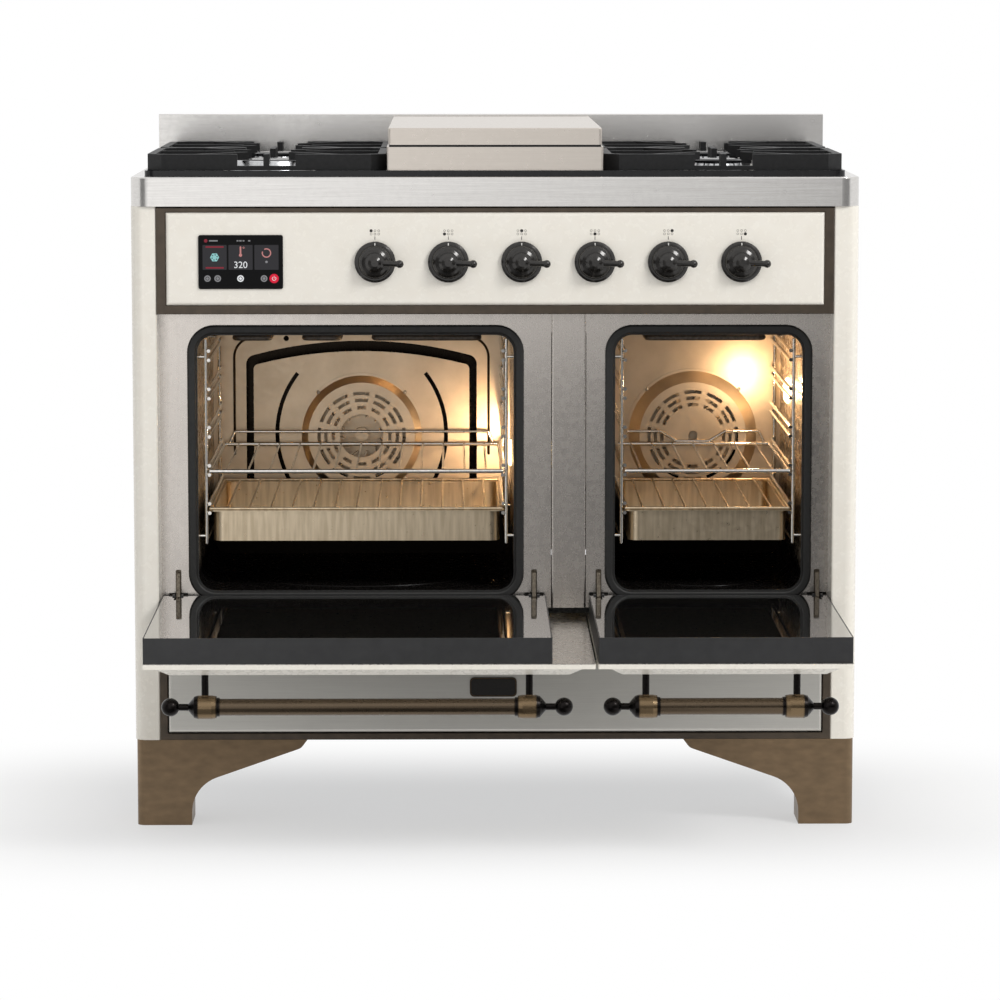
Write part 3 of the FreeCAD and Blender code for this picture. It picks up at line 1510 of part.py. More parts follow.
save("oven_elements", *[e for oven in ovens for e in oven_element(oven)])
save("oven_lamps", *[oven_lamp(oven) for oven in ovens])
save("hinge_receivers", *[hinge_receiver(arm) for oven in ovens for arm in oven["arms"]])

save("control_fascia", control_fascia())
save("touch_display", touch_display())
save("gas_manifold", gas_manifold())
for k, x in enumerate(knob_xs()):
    save("knob_" + str(k + 1), knob(x))

save("hob_top", hob_top())
save("hob_tray", hob_tray())
bases = [burner_base(x, y, r, low=x == 0.0) for x, y, r in burners()]
save("burner_bases", *(bases + [wok_ring()]))
save("burner_caps", *[burner_cap(x, y, r, low=x == 0.0) for x, y, r in burners()])
front_span = (front + support_front_y, front + support_mid_y - 0.5)
rear_span = (front + support_mid_y + 0.5, front + support_rear_y)
for place, span, burner_y in (("front", front_span, burner_front_y), ("rear", rear_span, burner_rear_y)):
    support = pan_support((support_inner_x, support_outer_x), span, front + burner_y)
    save("pan_support_right_" + place, support)
    save("pan_support_left_" + place, mirrored(support))
save("griddle_plate", griddle_plate())
save("griddle_lid", griddle_lid())
save("backguard", backguard())

save("drawer_box", drawer_box())
save("drawer_front", drawer_front())
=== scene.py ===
import math

import bmesh
import bpy
import numpy as np
from mathutils import Matrix, Vector


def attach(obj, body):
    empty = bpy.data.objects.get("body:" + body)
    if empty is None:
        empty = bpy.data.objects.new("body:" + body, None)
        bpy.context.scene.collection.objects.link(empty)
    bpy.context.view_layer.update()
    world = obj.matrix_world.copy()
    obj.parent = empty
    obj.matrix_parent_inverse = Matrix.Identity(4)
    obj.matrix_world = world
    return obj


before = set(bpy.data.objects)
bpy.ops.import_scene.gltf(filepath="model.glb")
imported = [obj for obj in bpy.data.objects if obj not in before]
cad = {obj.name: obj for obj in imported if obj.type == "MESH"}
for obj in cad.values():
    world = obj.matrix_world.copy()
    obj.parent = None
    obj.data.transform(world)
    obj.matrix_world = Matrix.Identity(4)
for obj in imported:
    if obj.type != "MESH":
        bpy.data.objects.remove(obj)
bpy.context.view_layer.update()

print("frame loaded:", len(cad), "nodes")

# places on the cooker that the added pieces stand on, in metres
cooker = {
    "front": -0.1305,
    "fasciaFace": -0.1325,
    "drawerFace": -0.1345,
    "frameFace": -0.0755,
    "backFace": 0.4695,
    "knobHeight": 0.784,
    "knobs": [-0.165 + 0.1005 * k for k in range(6)],
    "trayFloor": 0.902,
}


# ---- helpers for meshes ----

def gridFaces(rows, columns, closedRows=False, closedColumns=False):
    # every cell of a grid of points as one face of four corners
    r = np.arange(rows if closedRows else rows - 1)
    c = np.arange(columns if closedColumns else columns - 1)
    a, b = np.meshgrid(r, c, indexing="ij")
    nextA, nextB = (a + 1) % rows, (b + 1) % columns
    corners = [(a, b), (a, nextB), (nextA, nextB), (nextA, b)]
    return np.stack([row * columns + column for row, column in corners], -1).reshape(-1, 4)


def turnedShape(profile, at, direction, count=32):
    # radius and height pairs turned about an axis: point = at + height * axis + radius * (cos, sin) across it
    profile = np.asarray(profile, float)
    axis = np.asarray(direction, float)
    axis = axis / np.linalg.norm(axis)
    helper = np.array([1.0, 0, 0]) if abs(axis[0]) < 0.9 else np.array([0, 1.0, 0])
    side = np.cross(axis, helper)
    side = side / np.linalg.norm(side)
    other = np.cross(axis, side)
    angle = np.linspace(0, 2 * math.pi, count, endpoint=False)
    across = np.cos(angle)[:, None] * side + np.sin(angle)[:, None] * other
    points = np.asarray(at, float) + profile[:, None, 1:2] * axis + profile[:, None, 0:1] * across[None]
    return points.reshape(-1, 3), gridFaces(len(profile), count, closedColumns=True).tolist()


def flatShape(outline, y, depth):
    # an outline of x and z points seen from the front, as a thin slab from y back to y + depth
    outline = np.asarray(outline, float)
    n = len(outline)
    near = np.column_stack([outline[:, 0], np.full(n, y), outline[:, 1]])
    far = near + [0, depth, 0]
    i = np.arange(n)
    sides = np.column_stack([i, (i + 1) % n, (i + 1) % n + n, i + n])
    return np.vstack([near, far]), [i.tolist(), (i + n)[::-1].tolist()] + sides.tolist()


def bandShape(inner, outer, y, depth):
    # the flat band between two outlines of as many points each, as a slab
    n = len(inner)
    rings = []
    for outline, place in ((outer, y), (inner, y), (inner, y + depth), (outer, y + depth)):
        outline = np.asarray(outline, float)
        rings.append(np.column_stack([outline[:, 0], np.full(n, place), outline[:, 1]]))
    return np.vstack(rings), gridFaces(4, n, closedRows=True, closedColumns=True).tolist()


def disc(x, z, radius, count=28, start=0.0, end=2 * math.pi):
    # points on a circle, or on an arc of it
    whole = abs(end - start - 2 * math.pi) < 1e-9
    angle = np.linspace(start, end, count, endpoint=not whole)
    return np.column_stack([x + radius * np.cos(angle), z + radius * np.sin(angle)])


def arcBand(x, z, inner, outer, start, end, count=24):
    # the outline of a thick arc
    return np.vstack([disc(x, z, outer, count, start, end), disc(x, z, inner, count, start, end)[::-1]])


def roundedBox(x, z, radius, steps=6):
    # a rectangle's outline with a quarter circle at each corner
    near, far = (x[0] + radius, z[0] + radius), (x[1] - radius, z[1] - radius)
    corners = [(far[0], near[1], -90), (far[0], far[1], 0), (near[0], far[1], 90), (near[0], near[1], 180)]
    parts = []
    for cx, cz, turn in corners:
        parts.append(disc(cx, cz, radius, steps, math.radians(turn), math.radians(turn + 90)))
    return np.vstack(parts)


def plateBox(centre, half, radius, steps=6):
    # the same, given by its middle and half its width and height
    x, z = centre
    return roundedBox((x - half[0], x + half[0]), (z - half[1], z + half[1]), radius, steps)


def tubeShape(path, radius, count=12, closed=False):
    # a circle carried along a path, with its plane square to the run; a closed path meets itself
    path = np.asarray(path, float)
    along = np.roll(path, -1, axis=0) - np.roll(path, 1, axis=0) if closed else np.gradient(path, axis=0)
    along /= np.linalg.norm(along, axis=1)[:, None]
    lead = np.array([0.0, 0, 1]) if abs(along[0, 2]) < 0.9 else np.array([1.0, 0, 0])
    side = np.cross(along, lead)
    side /= np.linalg.norm(side, axis=1)[:, None]
    other = np.cross(side, along)
    angle = np.linspace(0, 2 * math.pi, count, endpoint=False)
    ring = np.cos(angle)[None, :, None] * side[:, None] + np.sin(angle)[None, :, None] * other[:, None]
    points = (path[:, None] + radius * ring).reshape(-1, 3)
    faces = gridFaces(len(path), count, closedRows=closed, closedColumns=True).tolist()
    if closed:
        return points, faces
    last = len(points) - count
    return points, faces + [list(range(count))[::-1], list(range(last, last + count))]


def combined(shapes):
    # several shapes as one list of points and one of faces
    points, faces, start = [], [], 0
    for p, f in shapes:
        points.append(np.asarray(p, float))
        faces += [[int(i) + start for i in face] for face in f]
        start += len(p)
    return np.vstack(points), faces


def addPiece(name, shape, material, body, smooth=35):
    # a mesh at the origin that rides on a body, closed, with its faces outwards
    points, faces = shape
    mesh = bpy.data.meshes.new(name)
    mesh.from_pydata(np.asarray(points, float).tolist(), [], faces)
    work = bmesh.new()
    work.from_mesh(mesh)
    bmesh.ops.remove_doubles(work, verts=work.verts, dist=1e-7)
    bmesh.ops.dissolve_degenerate(work, edges=work.edges, dist=1e-8)
    bmesh.ops.recalc_face_normals(work, faces=work.faces)
    for edge in work.edges:
        edge.smooth = len(edge.link_faces) == 2 and edge.calc_face_angle() < math.radians(smooth)
    for face in work.faces:
        face.smooth = True
    work.to_mesh(mesh)
    work.free()
    piece = bpy.data.objects.new(name, mesh)
    bpy.context.scene.collection.objects.link(piece)
    mesh.materials.append(material)
    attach(piece, body)
    return piece


# ---- node groups that the finishes share ----

def tone(red, green, blue):
    # a colour as the eye reads it, 0 to 255, turned to linear light
    c = np.array([red, green, blue]) / 255
    linear = np.where(c <= 0.04045, c / 12.92, ((c + 0.055) / 1.055) ** 2.4)
    return (*linear.tolist(), 1.0)


def startGroup(name, inputs, output):
    # a group with its sockets, and Object coordinates to work from
    group = bpy.data.node_groups.new(name, "ShaderNodeTree")
    for label, kind, value in inputs:
        socket = group.interface.new_socket(label, in_out="INPUT", socket_type=kind)
        socket.default_value = value
    group.interface.new_socket(output, in_out="OUTPUT", socket_type="NodeSocketFloat")
    entry, leave = group.nodes.new("NodeGroupInput"), group.nodes.new("NodeGroupOutput")
    where = group.nodes.new("ShaderNodeTexCoord")
    return group, entry, leave, where.outputs["Object"]


def stretchedNoise(group, entry, place):
    mapping = group.nodes.new("ShaderNodeMapping")
    group.links.new(place, mapping.inputs["Vector"])
    group.links.new(entry.outputs["Stretch"], mapping.inputs["Scale"])
    noise = group.nodes.new("ShaderNodeTexNoise")
    group.links.new(mapping.outputs["Vector"], noise.inputs["Vector"])
    return noise


def makePatches():
    # cloudy patches: a soft noise spread between a low and a high value
    group, entry, leave, place = startGroup("patches", [
        ("Stretch", "NodeSocketVector", (8, 8, 8)), ("Low", "NodeSocketFloat", 0.0),
        ("High", "NodeSocketFloat", 1.0), ("Sharpness", "NodeSocketFloat", 0.25)], "Value")
    noise = stretchedNoise(group, entry, place)
    noise.inputs["Detail"].default_value = 4
    lower = group.nodes.new("ShaderNodeMath")
    lower.operation = "SUBTRACT"
    lower.inputs[0].default_value = 0.5
    group.links.new(entry.outputs["Sharpness"], lower.inputs[1])
    upper = group.nodes.new("ShaderNodeMath")
    upper.operation = "ADD"
    upper.inputs[0].default_value = 0.5
    group.links.new(entry.outputs["Sharpness"], upper.inputs[1])
    spread = group.nodes.new("ShaderNodeMapRange")
    group.links.new(noise.outputs["Fac"], spread.inputs["Value"])
    group.links.new(lower.outputs[0], spread.inputs["From Min"])
    group.links.new(upper.outputs[0], spread.inputs["From Max"])
    group.links.new(entry.outputs["Low"], spread.inputs["To Min"])
    group.links.new(entry.outputs["High"], spread.inputs["To Max"])
    group.links.new(spread.outputs["Result"], leave.inputs["Value"])
    return group


def makeGrain():
    # fine relief: noise stretched along the brushing, or even all ways for castings and paint
    sockets = [("Stretch", "NodeSocketVector", (300, 300, 300))]
    group, entry, leave, place = startGroup("grain", sockets, "Height")
    noise = stretchedNoise(group, entry, place)
    noise.inputs["Detail"].default_value = 3
    noise.inputs["Roughness"].default_value = 0.55
    group.links.new(noise.outputs["Fac"], leave.inputs["Height"])
    return group


def makeHeightMask():
    # 0 under one height and 1 over another, with a soft step between; the height may run any way
    group, entry, leave, place = startGroup("heightMask", [
        ("Under", "NodeSocketFloat", 0.0), ("Over", "NodeSocketFloat", 1.0),
        ("Way", "NodeSocketVector", (0, 0, 1))], "Value")
    along = group.nodes.new("ShaderNodeVectorMath")
    along.operation = "DOT_PRODUCT"
    group.links.new(place, along.inputs[0])
    group.links.new(entry.outputs["Way"], along.inputs[1])
    step = group.nodes.new("ShaderNodeMapRange")
    step.interpolation_type = "SMOOTHSTEP"
    group.links.new(along.outputs["Value"], step.inputs["Value"])
    group.links.new(entry.outputs["Under"], step.inputs["From Min"])
    group.links.new(entry.outputs["Over"], step.inputs["From Max"])
    group.links.new(step.outputs["Result"], leave.inputs["Value"])
    return group


def makeReach():
    # how far a point lies from the middle of a bar, as a share of the longest reach
    group, entry, leave, place = startGroup("reach", [
        ("Centre", "NodeSocketFloat", 0.0), ("Longest", "NodeSocketFloat", 0.3)], "Value")
    split = group.nodes.new("ShaderNodeSeparateXYZ")
    group.links.new(place, split.inputs[0])
    away = split.outputs["X"]
    for operation, second in (("SUBTRACT", "Centre"), ("ABSOLUTE", None), ("DIVIDE", "Longest")):
        step = group.nodes.new("ShaderNodeMath")
        step.operation = operation
        group.links.new(away, step.inputs[0])
        if second:
            group.links.new(entry.outputs[second], step.inputs[1])
        away = step.outputs[0]
    group.links.new(away, leave.inputs["Value"])
    return group


patches, grain, heightMask, reach = makePatches(), makeGrain(), makeHeightMask(), makeReach()


def groupNode(tree, group, **values):
    node = tree.nodes.new("ShaderNodeGroup")
    node.node_tree = group
    for label, value in values.items():
        node.inputs[label].default_value = value
    return node


def blended(tree, factor, first, second):
    # a mix of two colours, each a socket or a fixed colour
    mix = tree.nodes.new("ShaderNodeMix")
    mix.data_type = "RGBA"
    tree.links.new(factor, mix.inputs["Factor"])
    for label, part in (("A", first), ("B", second)):
        if isinstance(part, tuple):
            mix.inputs[label].default_value = part
        else:
            tree.links.new(part, mix.inputs[label])
    return mix.outputs["Result"]


def banded(tree, bands):
    # a colour for each stretch of a turned bar, counted from its middle
    away = groupNode(tree, reach, Centre=bands["centre"], Longest=bands["longest"])
    ramp = tree.nodes.new("ShaderNodeValToRGB")
    stops = ramp.color_ramp.elements
    while len(stops) < len(bands["stops"]):
        stops.new(1.0)
    for stop, (distance, color) in zip(stops, bands["stops"]):
        stop.position, stop.color = distance / bands["longest"], color
    tree.links.new(away.outputs["Value"], ramp.inputs["Fac"])
    return ramp.outputs["Color"]


def makeFinish(name, look):
    # one finish: two colours in patches, bands or a change with height, a roughness that wanders,
    # a fine relief, and what its shader needs
    material = bpy.data.materials.new(name)
    material.use_nodes = True
    tree = material.node_tree
    shader = tree.nodes["Principled BSDF"]
    color = look.get("color")
    if "colors" in look:
        size, edge = look.get("patchSize", (9, 9, 9)), look.get("patchEdge", 0.2)
        cloud = groupNode(tree, patches, Stretch=size, Sharpness=edge)
        color = blended(tree, cloud.outputs["Value"], *look["colors"])
    if "bands" in look:
        color = banded(tree, look["bands"])
    # a change of colour with height: a real change of material on the doors and handles, painted shade low in
    # the ovens
    if "height" in look:
        step = look["height"]
        mask = groupNode(tree, heightMask, Under=step["under"], Over=step["over"]).outputs["Value"]
        color = blended(tree, mask, step.get("low", color), step.get("high", color))
        if step.get("metalAbove"):
            tree.links.new(mask, shader.inputs["Metallic"])
    if "behind" in look:
        # what stands behind the baffle plate is painted dark: painted shade, out of the lamp's light
        step = look["behind"]
        mask = groupNode(tree, heightMask, Under=step["under"], Over=step["over"], Way=(0, 1, 0))
        color = blended(tree, mask.outputs["Value"], color, step["color"])
    if isinstance(color, tuple):
        shader.inputs["Base Color"].default_value = color
    else:
        tree.links.new(color, shader.inputs["Base Color"])
    low, high = look["rough"]
    wander = groupNode(tree, patches, Stretch=look.get("roughSize", (25, 25, 25)), Low=low, High=high)
    tree.links.new(wander.outputs["Value"], shader.inputs["Roughness"])
    if "grain" in look:
        relief = groupNode(tree, grain, Stretch=look["grain"])
        bump = tree.nodes.new("ShaderNodeBump")
        bump.inputs["Strength"].default_value = look.get("grainStrength", 0.3)
        bump.inputs["Distance"].default_value = look.get("grainDepth", 0.0002)
        tree.links.new(relief.outputs["Height"], bump.inputs["Height"])
        tree.links.new(bump.outputs["Normal"], shader.inputs["Normal"])
    for label, value in look.get("shader", {}).items():
        shader.inputs[label].default_value = value
    return material


def handleBands(centre, post):
    # bar, ferrule with a dark ring at each end, then the dark neck and ball
    bar, ferrule, dark = tone(94, 81, 66), tone(122, 103, 78), tone(26, 23, 22)
    stops = [(0.0, bar), (post - 0.0195, bar), (post - 0.0190, dark), (post - 0.0150, dark)]
    stops += [(post - 0.0135, ferrule), (post + 0.0080, ferrule), (post + 0.0095, dark), (0.3, dark)]
    return {"bands": {"centre": centre, "longest": 0.3, "stops": stops},
            "height": {"under": 0.2358, "over": 0.2366, "high": dark},
            "rough": (0.24, 0.34), "roughSize": (20, 90, 90),
            "grain": (40, 500, 500), "grainStrength": 0.06, "shader": {"Metallic": 0.9}}


metal = {"Metallic": 1.0}
streaks = {"level": {"patchSize": (3, 60, 260), "patchEdge": 0.3, "grain": (4, 420, 420)},
           "upright": {"patchSize": (260, 60, 3), "patchEdge": 0.3, "grain": (420, 420, 4)}}
looks = {
    "creamEnamel": {
        "colors": (tone(243, 238, 227), tone(240, 234, 222)), "rough": (0.22, 0.3),
        "grain": (60, 60, 60), "grainStrength": 0.012, "grainDepth": 0.0003,
        "shader": {"Coat Weight": 0.5, "Coat Roughness": 0.08}
    },
    "creamDoor": {
        "colors": (tone(243, 238, 227), tone(240, 234, 222)), "rough": (0.24, 0.32),
        "grain": (60, 60, 60), "grainStrength": 0.012, "grainDepth": 0.0003,
        "shader": {"Coat Weight": 0.4, "Coat Roughness": 0.08},
        "height": {"under": 0.2809, "over": 0.2815, "high": tone(205, 200, 193), "metalAbove": True}
    },
    "steelLevel": {
        "colors": (tone(222, 220, 217), tone(206, 203, 200)), **streaks["level"], "rough": (0.2, 0.28),
        "grainStrength": 0.03, "shader": metal
    },
    "steelUpright": {
        "colors": (tone(214, 207, 200), tone(206, 199, 192)), **streaks["upright"], "rough": (0.24, 0.3),
        "grainStrength": 0.003, "shader": metal
    },
    "steelLid": {
        "colors": (tone(207, 199, 190), tone(200, 192, 183)), **streaks["level"], "rough": (0.26, 0.34),
        "grainStrength": 0.01, "shader": metal
    },
    # painted shade: a slightly darker copy of the level steel, for the shade under the open doors; it is also
    # rougher
    "steelDrawerShaded": {
        "colors": (tone(206, 204, 197), tone(196, 193, 187)), **streaks["level"], "rough": (0.34, 0.42),
        "grainStrength": 0.01, "shader": metal
    },
    "galvanised": {
        "colors": (tone(176, 178, 180), tone(150, 153, 156)), "patchSize": (35, 35, 35),
        "patchEdge": 0.08, "rough": (0.4, 0.6), "shader": metal
    },
    "bronzePaint": {
        "colors": (tone(82, 71, 59), tone(70, 61, 51)), "patchSize": (14, 14, 14), "rough": (0.32, 0.44),
        "grain": (500, 500, 500), "grainStrength": 0.06, "shader": {"Metallic": 0.45}
    },
    "bronzeLeg": {
        "colors": (tone(130, 108, 82), tone(114, 95, 72)), "patchSize": (9, 9, 20), "rough": (0.3, 0.4),
        "grain": (420, 420, 420), "grainStrength": 0.06, "shader": {"Metallic": 0.6}
    },
    "bronzeBar": {
        "colors": (tone(98, 80, 62), tone(80, 66, 52)), "patchSize": (30, 90, 90), "rough": (0.26, 0.36),
        "grain": (30, 500, 500), "grainStrength": 0.06, "shader": metal
    },
    "handleLeft": handleBands(-0.1715, 0.2125),
    "handleRight": handleBands(0.2933, 0.0992),
    "knobBlack": {
        "colors": (tone(46, 43, 40), tone(32, 30, 28)), "patchSize": (60, 60, 60), "rough": (0.2, 0.3),
        "grain": (500, 500, 500), "grainStrength": 0.05,
        "shader": {"Metallic": 0.6, "Coat Weight": 0.5, "Coat Roughness": 0.1}
    },
    "castIron": {
        "colors": (tone(25, 25, 26), tone(16, 16, 17)), "patchSize": (40, 40, 40), "rough": (0.42, 0.56),
        "grain": (600, 600, 600), "grainStrength": 0.3, "grainDepth": 0.0004,
        "shader": {"Specular IOR Level": 0.3}
    },
    "blackEnamel": {
        "colors": (tone(26, 26, 28), tone(18, 18, 20)), "patchSize": (20, 20, 20), "rough": (0.12, 0.22),
        "grain": (200, 200, 200), "grainStrength": 0.05, "shader": {"Specular IOR Level": 0.3}
    },
    "burnerAlloy": {
        "colors": (tone(206, 207, 208), tone(182, 183, 185)), "patchSize": (60, 60, 60),
        "rough": (0.2, 0.34), "grain": (500, 500, 500), "grainStrength": 0.1, "shader": metal
    },
    "chromeWire": {
        "colors": (tone(232, 229, 224), tone(214, 210, 203)), "patchSize": (40, 40, 40),
        "rough": (0.07, 0.14), "shader": metal
    },
    "linerSteel": {
        "colors": (tone(214, 198, 174), tone(176, 158, 134)), "patchSize": (7, 7, 7), "patchEdge": 0.12,
        "rough": (0.22, 0.32), "shader": {"Specular IOR Level": 0.1},
        # painted shade: the liner turns dark and not metallic below the trays, where the lamp's light doesn't
        # reach
        "height": {"under": 0.345, "over": 0.405, "low": tone(20, 18, 17), "metalAbove": True},
        # painted shade: the back wall behind the baffle plate is dark
        "behind": {"under": 0.3205, "over": 0.3225, "color": tone(34, 29, 24)}
    },
    "baffleSteel": {
        "colors": (tone(218, 198, 172), tone(202, 182, 156)), "patchSize": (5, 5, 5),
        # painted shade: the baffle's lower part goes dark under the trays
        "rough": (0.36, 0.46), "height": {"under": 0.39, "over": 0.45, "low": tone(26, 22, 19)},
        "shader": metal
    },
    # painted shade: the beads are dark to stand for the shaded groove along each pressed bead
    "beadGrooveShade": {
        "colors": (tone(60, 50, 40), tone(46, 38, 31)), "patchSize": (30, 30, 30), "rough": (0.3, 0.4),
        "shader": metal
    },
    "trayEnamel": {
        "colors": (tone(222, 204, 176), tone(200, 182, 154)), "patchSize": (30, 22, 3),
        "patchEdge": 0.12, "rough": (0.26, 0.36), "shader": metal
    },
    "sealRubber": {
        "colors": (tone(30, 29, 27), tone(20, 20, 19)), "patchSize": (60, 60, 60), "rough": (0.45, 0.6),
        "grain": (600, 600, 600), "grainStrength": 0.2
    },
    "doorGlass": {
        "color": (0.045, 0.043, 0.041, 1), "rough": (0.03, 0.06), "roughSize": (12, 12, 12),
        "shader": {"Metallic": 0.6, "Coat Weight": 1.0, "Coat IOR": 1.8, "Coat Roughness": 0.02}
    },
    "windowGlass": {
        "color": (0.02, 0.02, 0.022, 1), "rough": (0.02, 0.05), "roughSize": (10, 10, 10),
        "shader": {"Coat Weight": 1.0, "Coat Roughness": 0.01}
    },
    "graphite": {
        "colors": (tone(45, 45, 46), tone(39, 39, 40)), "patchSize": (15, 15, 15), "rough": (0.4, 0.5),
        "grain": (600, 600, 600), "grainStrength": 0.1
    },
    "hingeSteel": {
        "colors": (tone(120, 112, 100), tone(74, 67, 58)), "patchSize": (80, 80, 80),
        "rough": (0.28, 0.42), "shader": metal
    },
    "lampGlass": {
        "color": tone(255, 236, 200), "rough": (0.1, 0.2),
        "shader": {"Emission Color": tone(255, 224, 170), "Emission Strength": 6.0}
    },
    "elementSheath": {
        "colors": (tone(96, 90, 84), tone(70, 66, 62)), "patchSize": (50, 50, 50), "rough": (0.4, 0.55),
        "shader": {"Metallic": 0.6}
    },
    "glassWool": {
        "colors": (tone(220, 208, 160), tone(196, 184, 140)), "patchSize": (60, 60, 60),
        "rough": (0.8, 0.95), "grain": (500, 60, 500), "grainStrength": 0.8, "grainDepth": 0.002
    },
    "brassWarm": {
        "colors": (tone(196, 168, 104), tone(176, 148, 88)), "patchSize": (50, 50, 50),
        "rough": (0.26, 0.4), "shader": metal
    },
    "displayGlass": {
        "color": tone(12, 12, 13), "rough": (0.2, 0.26), "roughSize": (30, 30, 30),
        "shader": {"Specular IOR Level": 0.08}
    },
    "badgeBlack": {
        "colors": (tone(34, 32, 30), tone(26, 24, 23)), "patchSize": (60, 60, 60), "rough": (0.3, 0.4),
        "grain": (600, 600, 600), "grainStrength": 0.1, "shader": {"Metallic": 0.3}
    },
    "printGrey": {
        "colors": (tone(150, 145, 136), tone(136, 131, 122)), "patchSize": (90, 90, 90),
        "rough": (0.4, 0.5)
    },
    "markWhite": {
        "colors": (tone(236, 234, 228), tone(222, 220, 214)), "patchSize": (90, 90, 90),
        "rough": (0.35, 0.45)
    },
    "ceramicWhite": {
        "colors": (tone(238, 236, 230), tone(226, 222, 214)), "patchSize": (90, 90, 90),
        "rough": (0.3, 0.4)
    },
    "screwSteel": {
        "colors": (tone(190, 188, 184), tone(168, 166, 162)), "patchSize": (90, 90, 90),
        "rough": (0.25, 0.4), "shader": metal
    },
}
finish = {name: makeFinish(name, look) for name, look in looks.items()}


def makeGlow(name, color, strength):
    # a lit patch of the display: a dark face that gives off its own colour
    shader = {"Emission Color": color, "Emission Strength": strength, "Specular IOR Level": 0.08}
    return makeFinish(name, {"color": tone(12, 12, 12), "rough": (0.1, 0.14), "shader": shader})


glows = {
    "tile": makeGlow("tileGlow", tone(48, 47, 50), 1.0),
    "red": makeGlow("redGlow", tone(214, 30, 58), 1.0),
    "dimRed": makeGlow("dimRedGlow", tone(130, 42, 54), 1.0),
    "rose": makeGlow("roseGlow", tone(190, 128, 126), 1.0),
    "teal": makeGlow("tealGlow", tone(140, 196, 196), 1.0),
    "pale": makeGlow("paleGlow", tone(226, 228, 230), 1.0),
    "grey": makeGlow("greyGlow", tone(132, 132, 134), 1.0),
}
print("finishes made:", len(finish) + len(glows))

# ---- finishes of the carried-over nodes ----

nodeFinish = {
    "creamEnamel": ["side_panel_left", "side_panel_right", "control_fascia"],
    "creamDoor": ["door_left_panel", "door_right_panel"],
    "steelLevel": ["hob_top", "backguard"],
    "steelDrawerShaded": ["drawer_front"],
    "steelLid": ["griddle_lid", "griddle_plate"],
    "steelUpright": ["oven_front_left", "oven_front_right", "oven_front_centre"],
    "galvanised": ["back_panel", "base_pan", "drawer_box", "fan_motors", "rear_feet"],
    "bronzePaint": ["fascia_trim", "lower_trim"],
    "bronzeLeg": ["front_legs"],
    "handleLeft": ["door_left_handle"],
    "handleRight": ["door_right_handle"],
    "knobBlack": ["knob_" + str(k + 1) for k in range(6)],
    "castIron": ["pan_support_left_front", "pan_support_left_rear",
                 "pan_support_right_front", "pan_support_right_rear"],
    "blackEnamel": ["hob_tray", "burner_caps"],
    "burnerAlloy": ["burner_bases"],
    "chromeWire": ["shelf_guides", "wire_shelf_left", "wire_shelf_right"],
    "linerSteel": ["oven_liner_left", "oven_liner_right"],
    "baffleSteel": ["fan_baffles", "fan_covers", "fan_left", "fan_right"],
    "trayEnamel": ["drip_tray_left", "drip_tray_right"],
    "sealRubber": ["door_gaskets"],
    "doorGlass": ["door_left_glass", "door_right_glass"],
    "windowGlass": ["door_left_window", "door_right_window"],
    "graphite": ["door_left_frame", "door_right_frame"],
    "hingeSteel": ["hinge_receivers"],
    "lampGlass": ["oven_lamps"],
    "elementSheath": ["oven_elements"],
    "glassWool": ["insulation"],
    "brassWarm": ["gas_manifold"],
    "displayGlass": ["touch_display"],
}
for name, members in nodeFinish.items():
    for member in members:
        mesh = cad[member].data
        mesh.materials.clear()
        mesh.materials.append(finish[name])
missing = sorted(set(cad) - {m for members in nodeFinish.values() for m in members})
print("nodes dressed, left over:", missing)

# ---- the touch display ----

display = {
    "x": -0.349, "z": 0.784, "face": -0.1355, "lift": 0.00012, "depth": 0.0002,
    "columns": (-0.0355, 0.0, 0.0355),
    "tile": {"z": 0.0065, "half": (0.0165, 0.0170), "corner": 0.001},
    "fan": {"z": 0.0065, "radius": 0.0062, "bladeRing": 0.0036, "blade": 0.0009, "turn": 0.3},
    "heatBar": {"z": (0.0208, -0.0078), "half": (0.0125, 0.0011), "corner": 0.0008},
    "stem": {"z": 0.0160, "half": (0.0011, 0.0055), "corner": 0.0008},
    "bulb": {"z": 0.0095, "radius": 0.0022},
    "degree": {"x": 0.0042, "z": 0.0198, "radii": (0.0007, 0.0013)},
    "timer": {"z": 0.0125, "radii": (0.0049, 0.0065), "turns": (-200, 120)},
    "dot": {"z": 0.0003, "radius": 0.0017},
    "keyHeight": -0.0225,
    "keys": [(-0.0455, 0.0044, "grey"), (-0.0315, 0.0046, "grey"), (-0.0002, 0.0046, "pale"),
             (0.0320, 0.0046, "grey")],
    "keyRing": (0.42, 0.62),
    "power": {"x": 0.0458, "radius": 0.0064, "radii": (0.0022, 0.0029), "turns": (-230, 50),
              "stem": {"z": 0.00185, "half": (0.0003, 0.00185), "corner": 0.0002}},
    "status": {"z": 0.0292, "half": 0.0009, "sign": (-0.0475, 0.0026), "line": (-0.0370, 0.0060, 0.0006),
               "marks": [(-0.0040, 0.0013), (0.0000, 0.0017), (0.0042, 0.0013), (0.0120, 0.0015)],
               "corner": 0.0005},
    "number": {"text": "320", "size": 0.0128, "z": -0.0042, "lift": 0.0004},
}


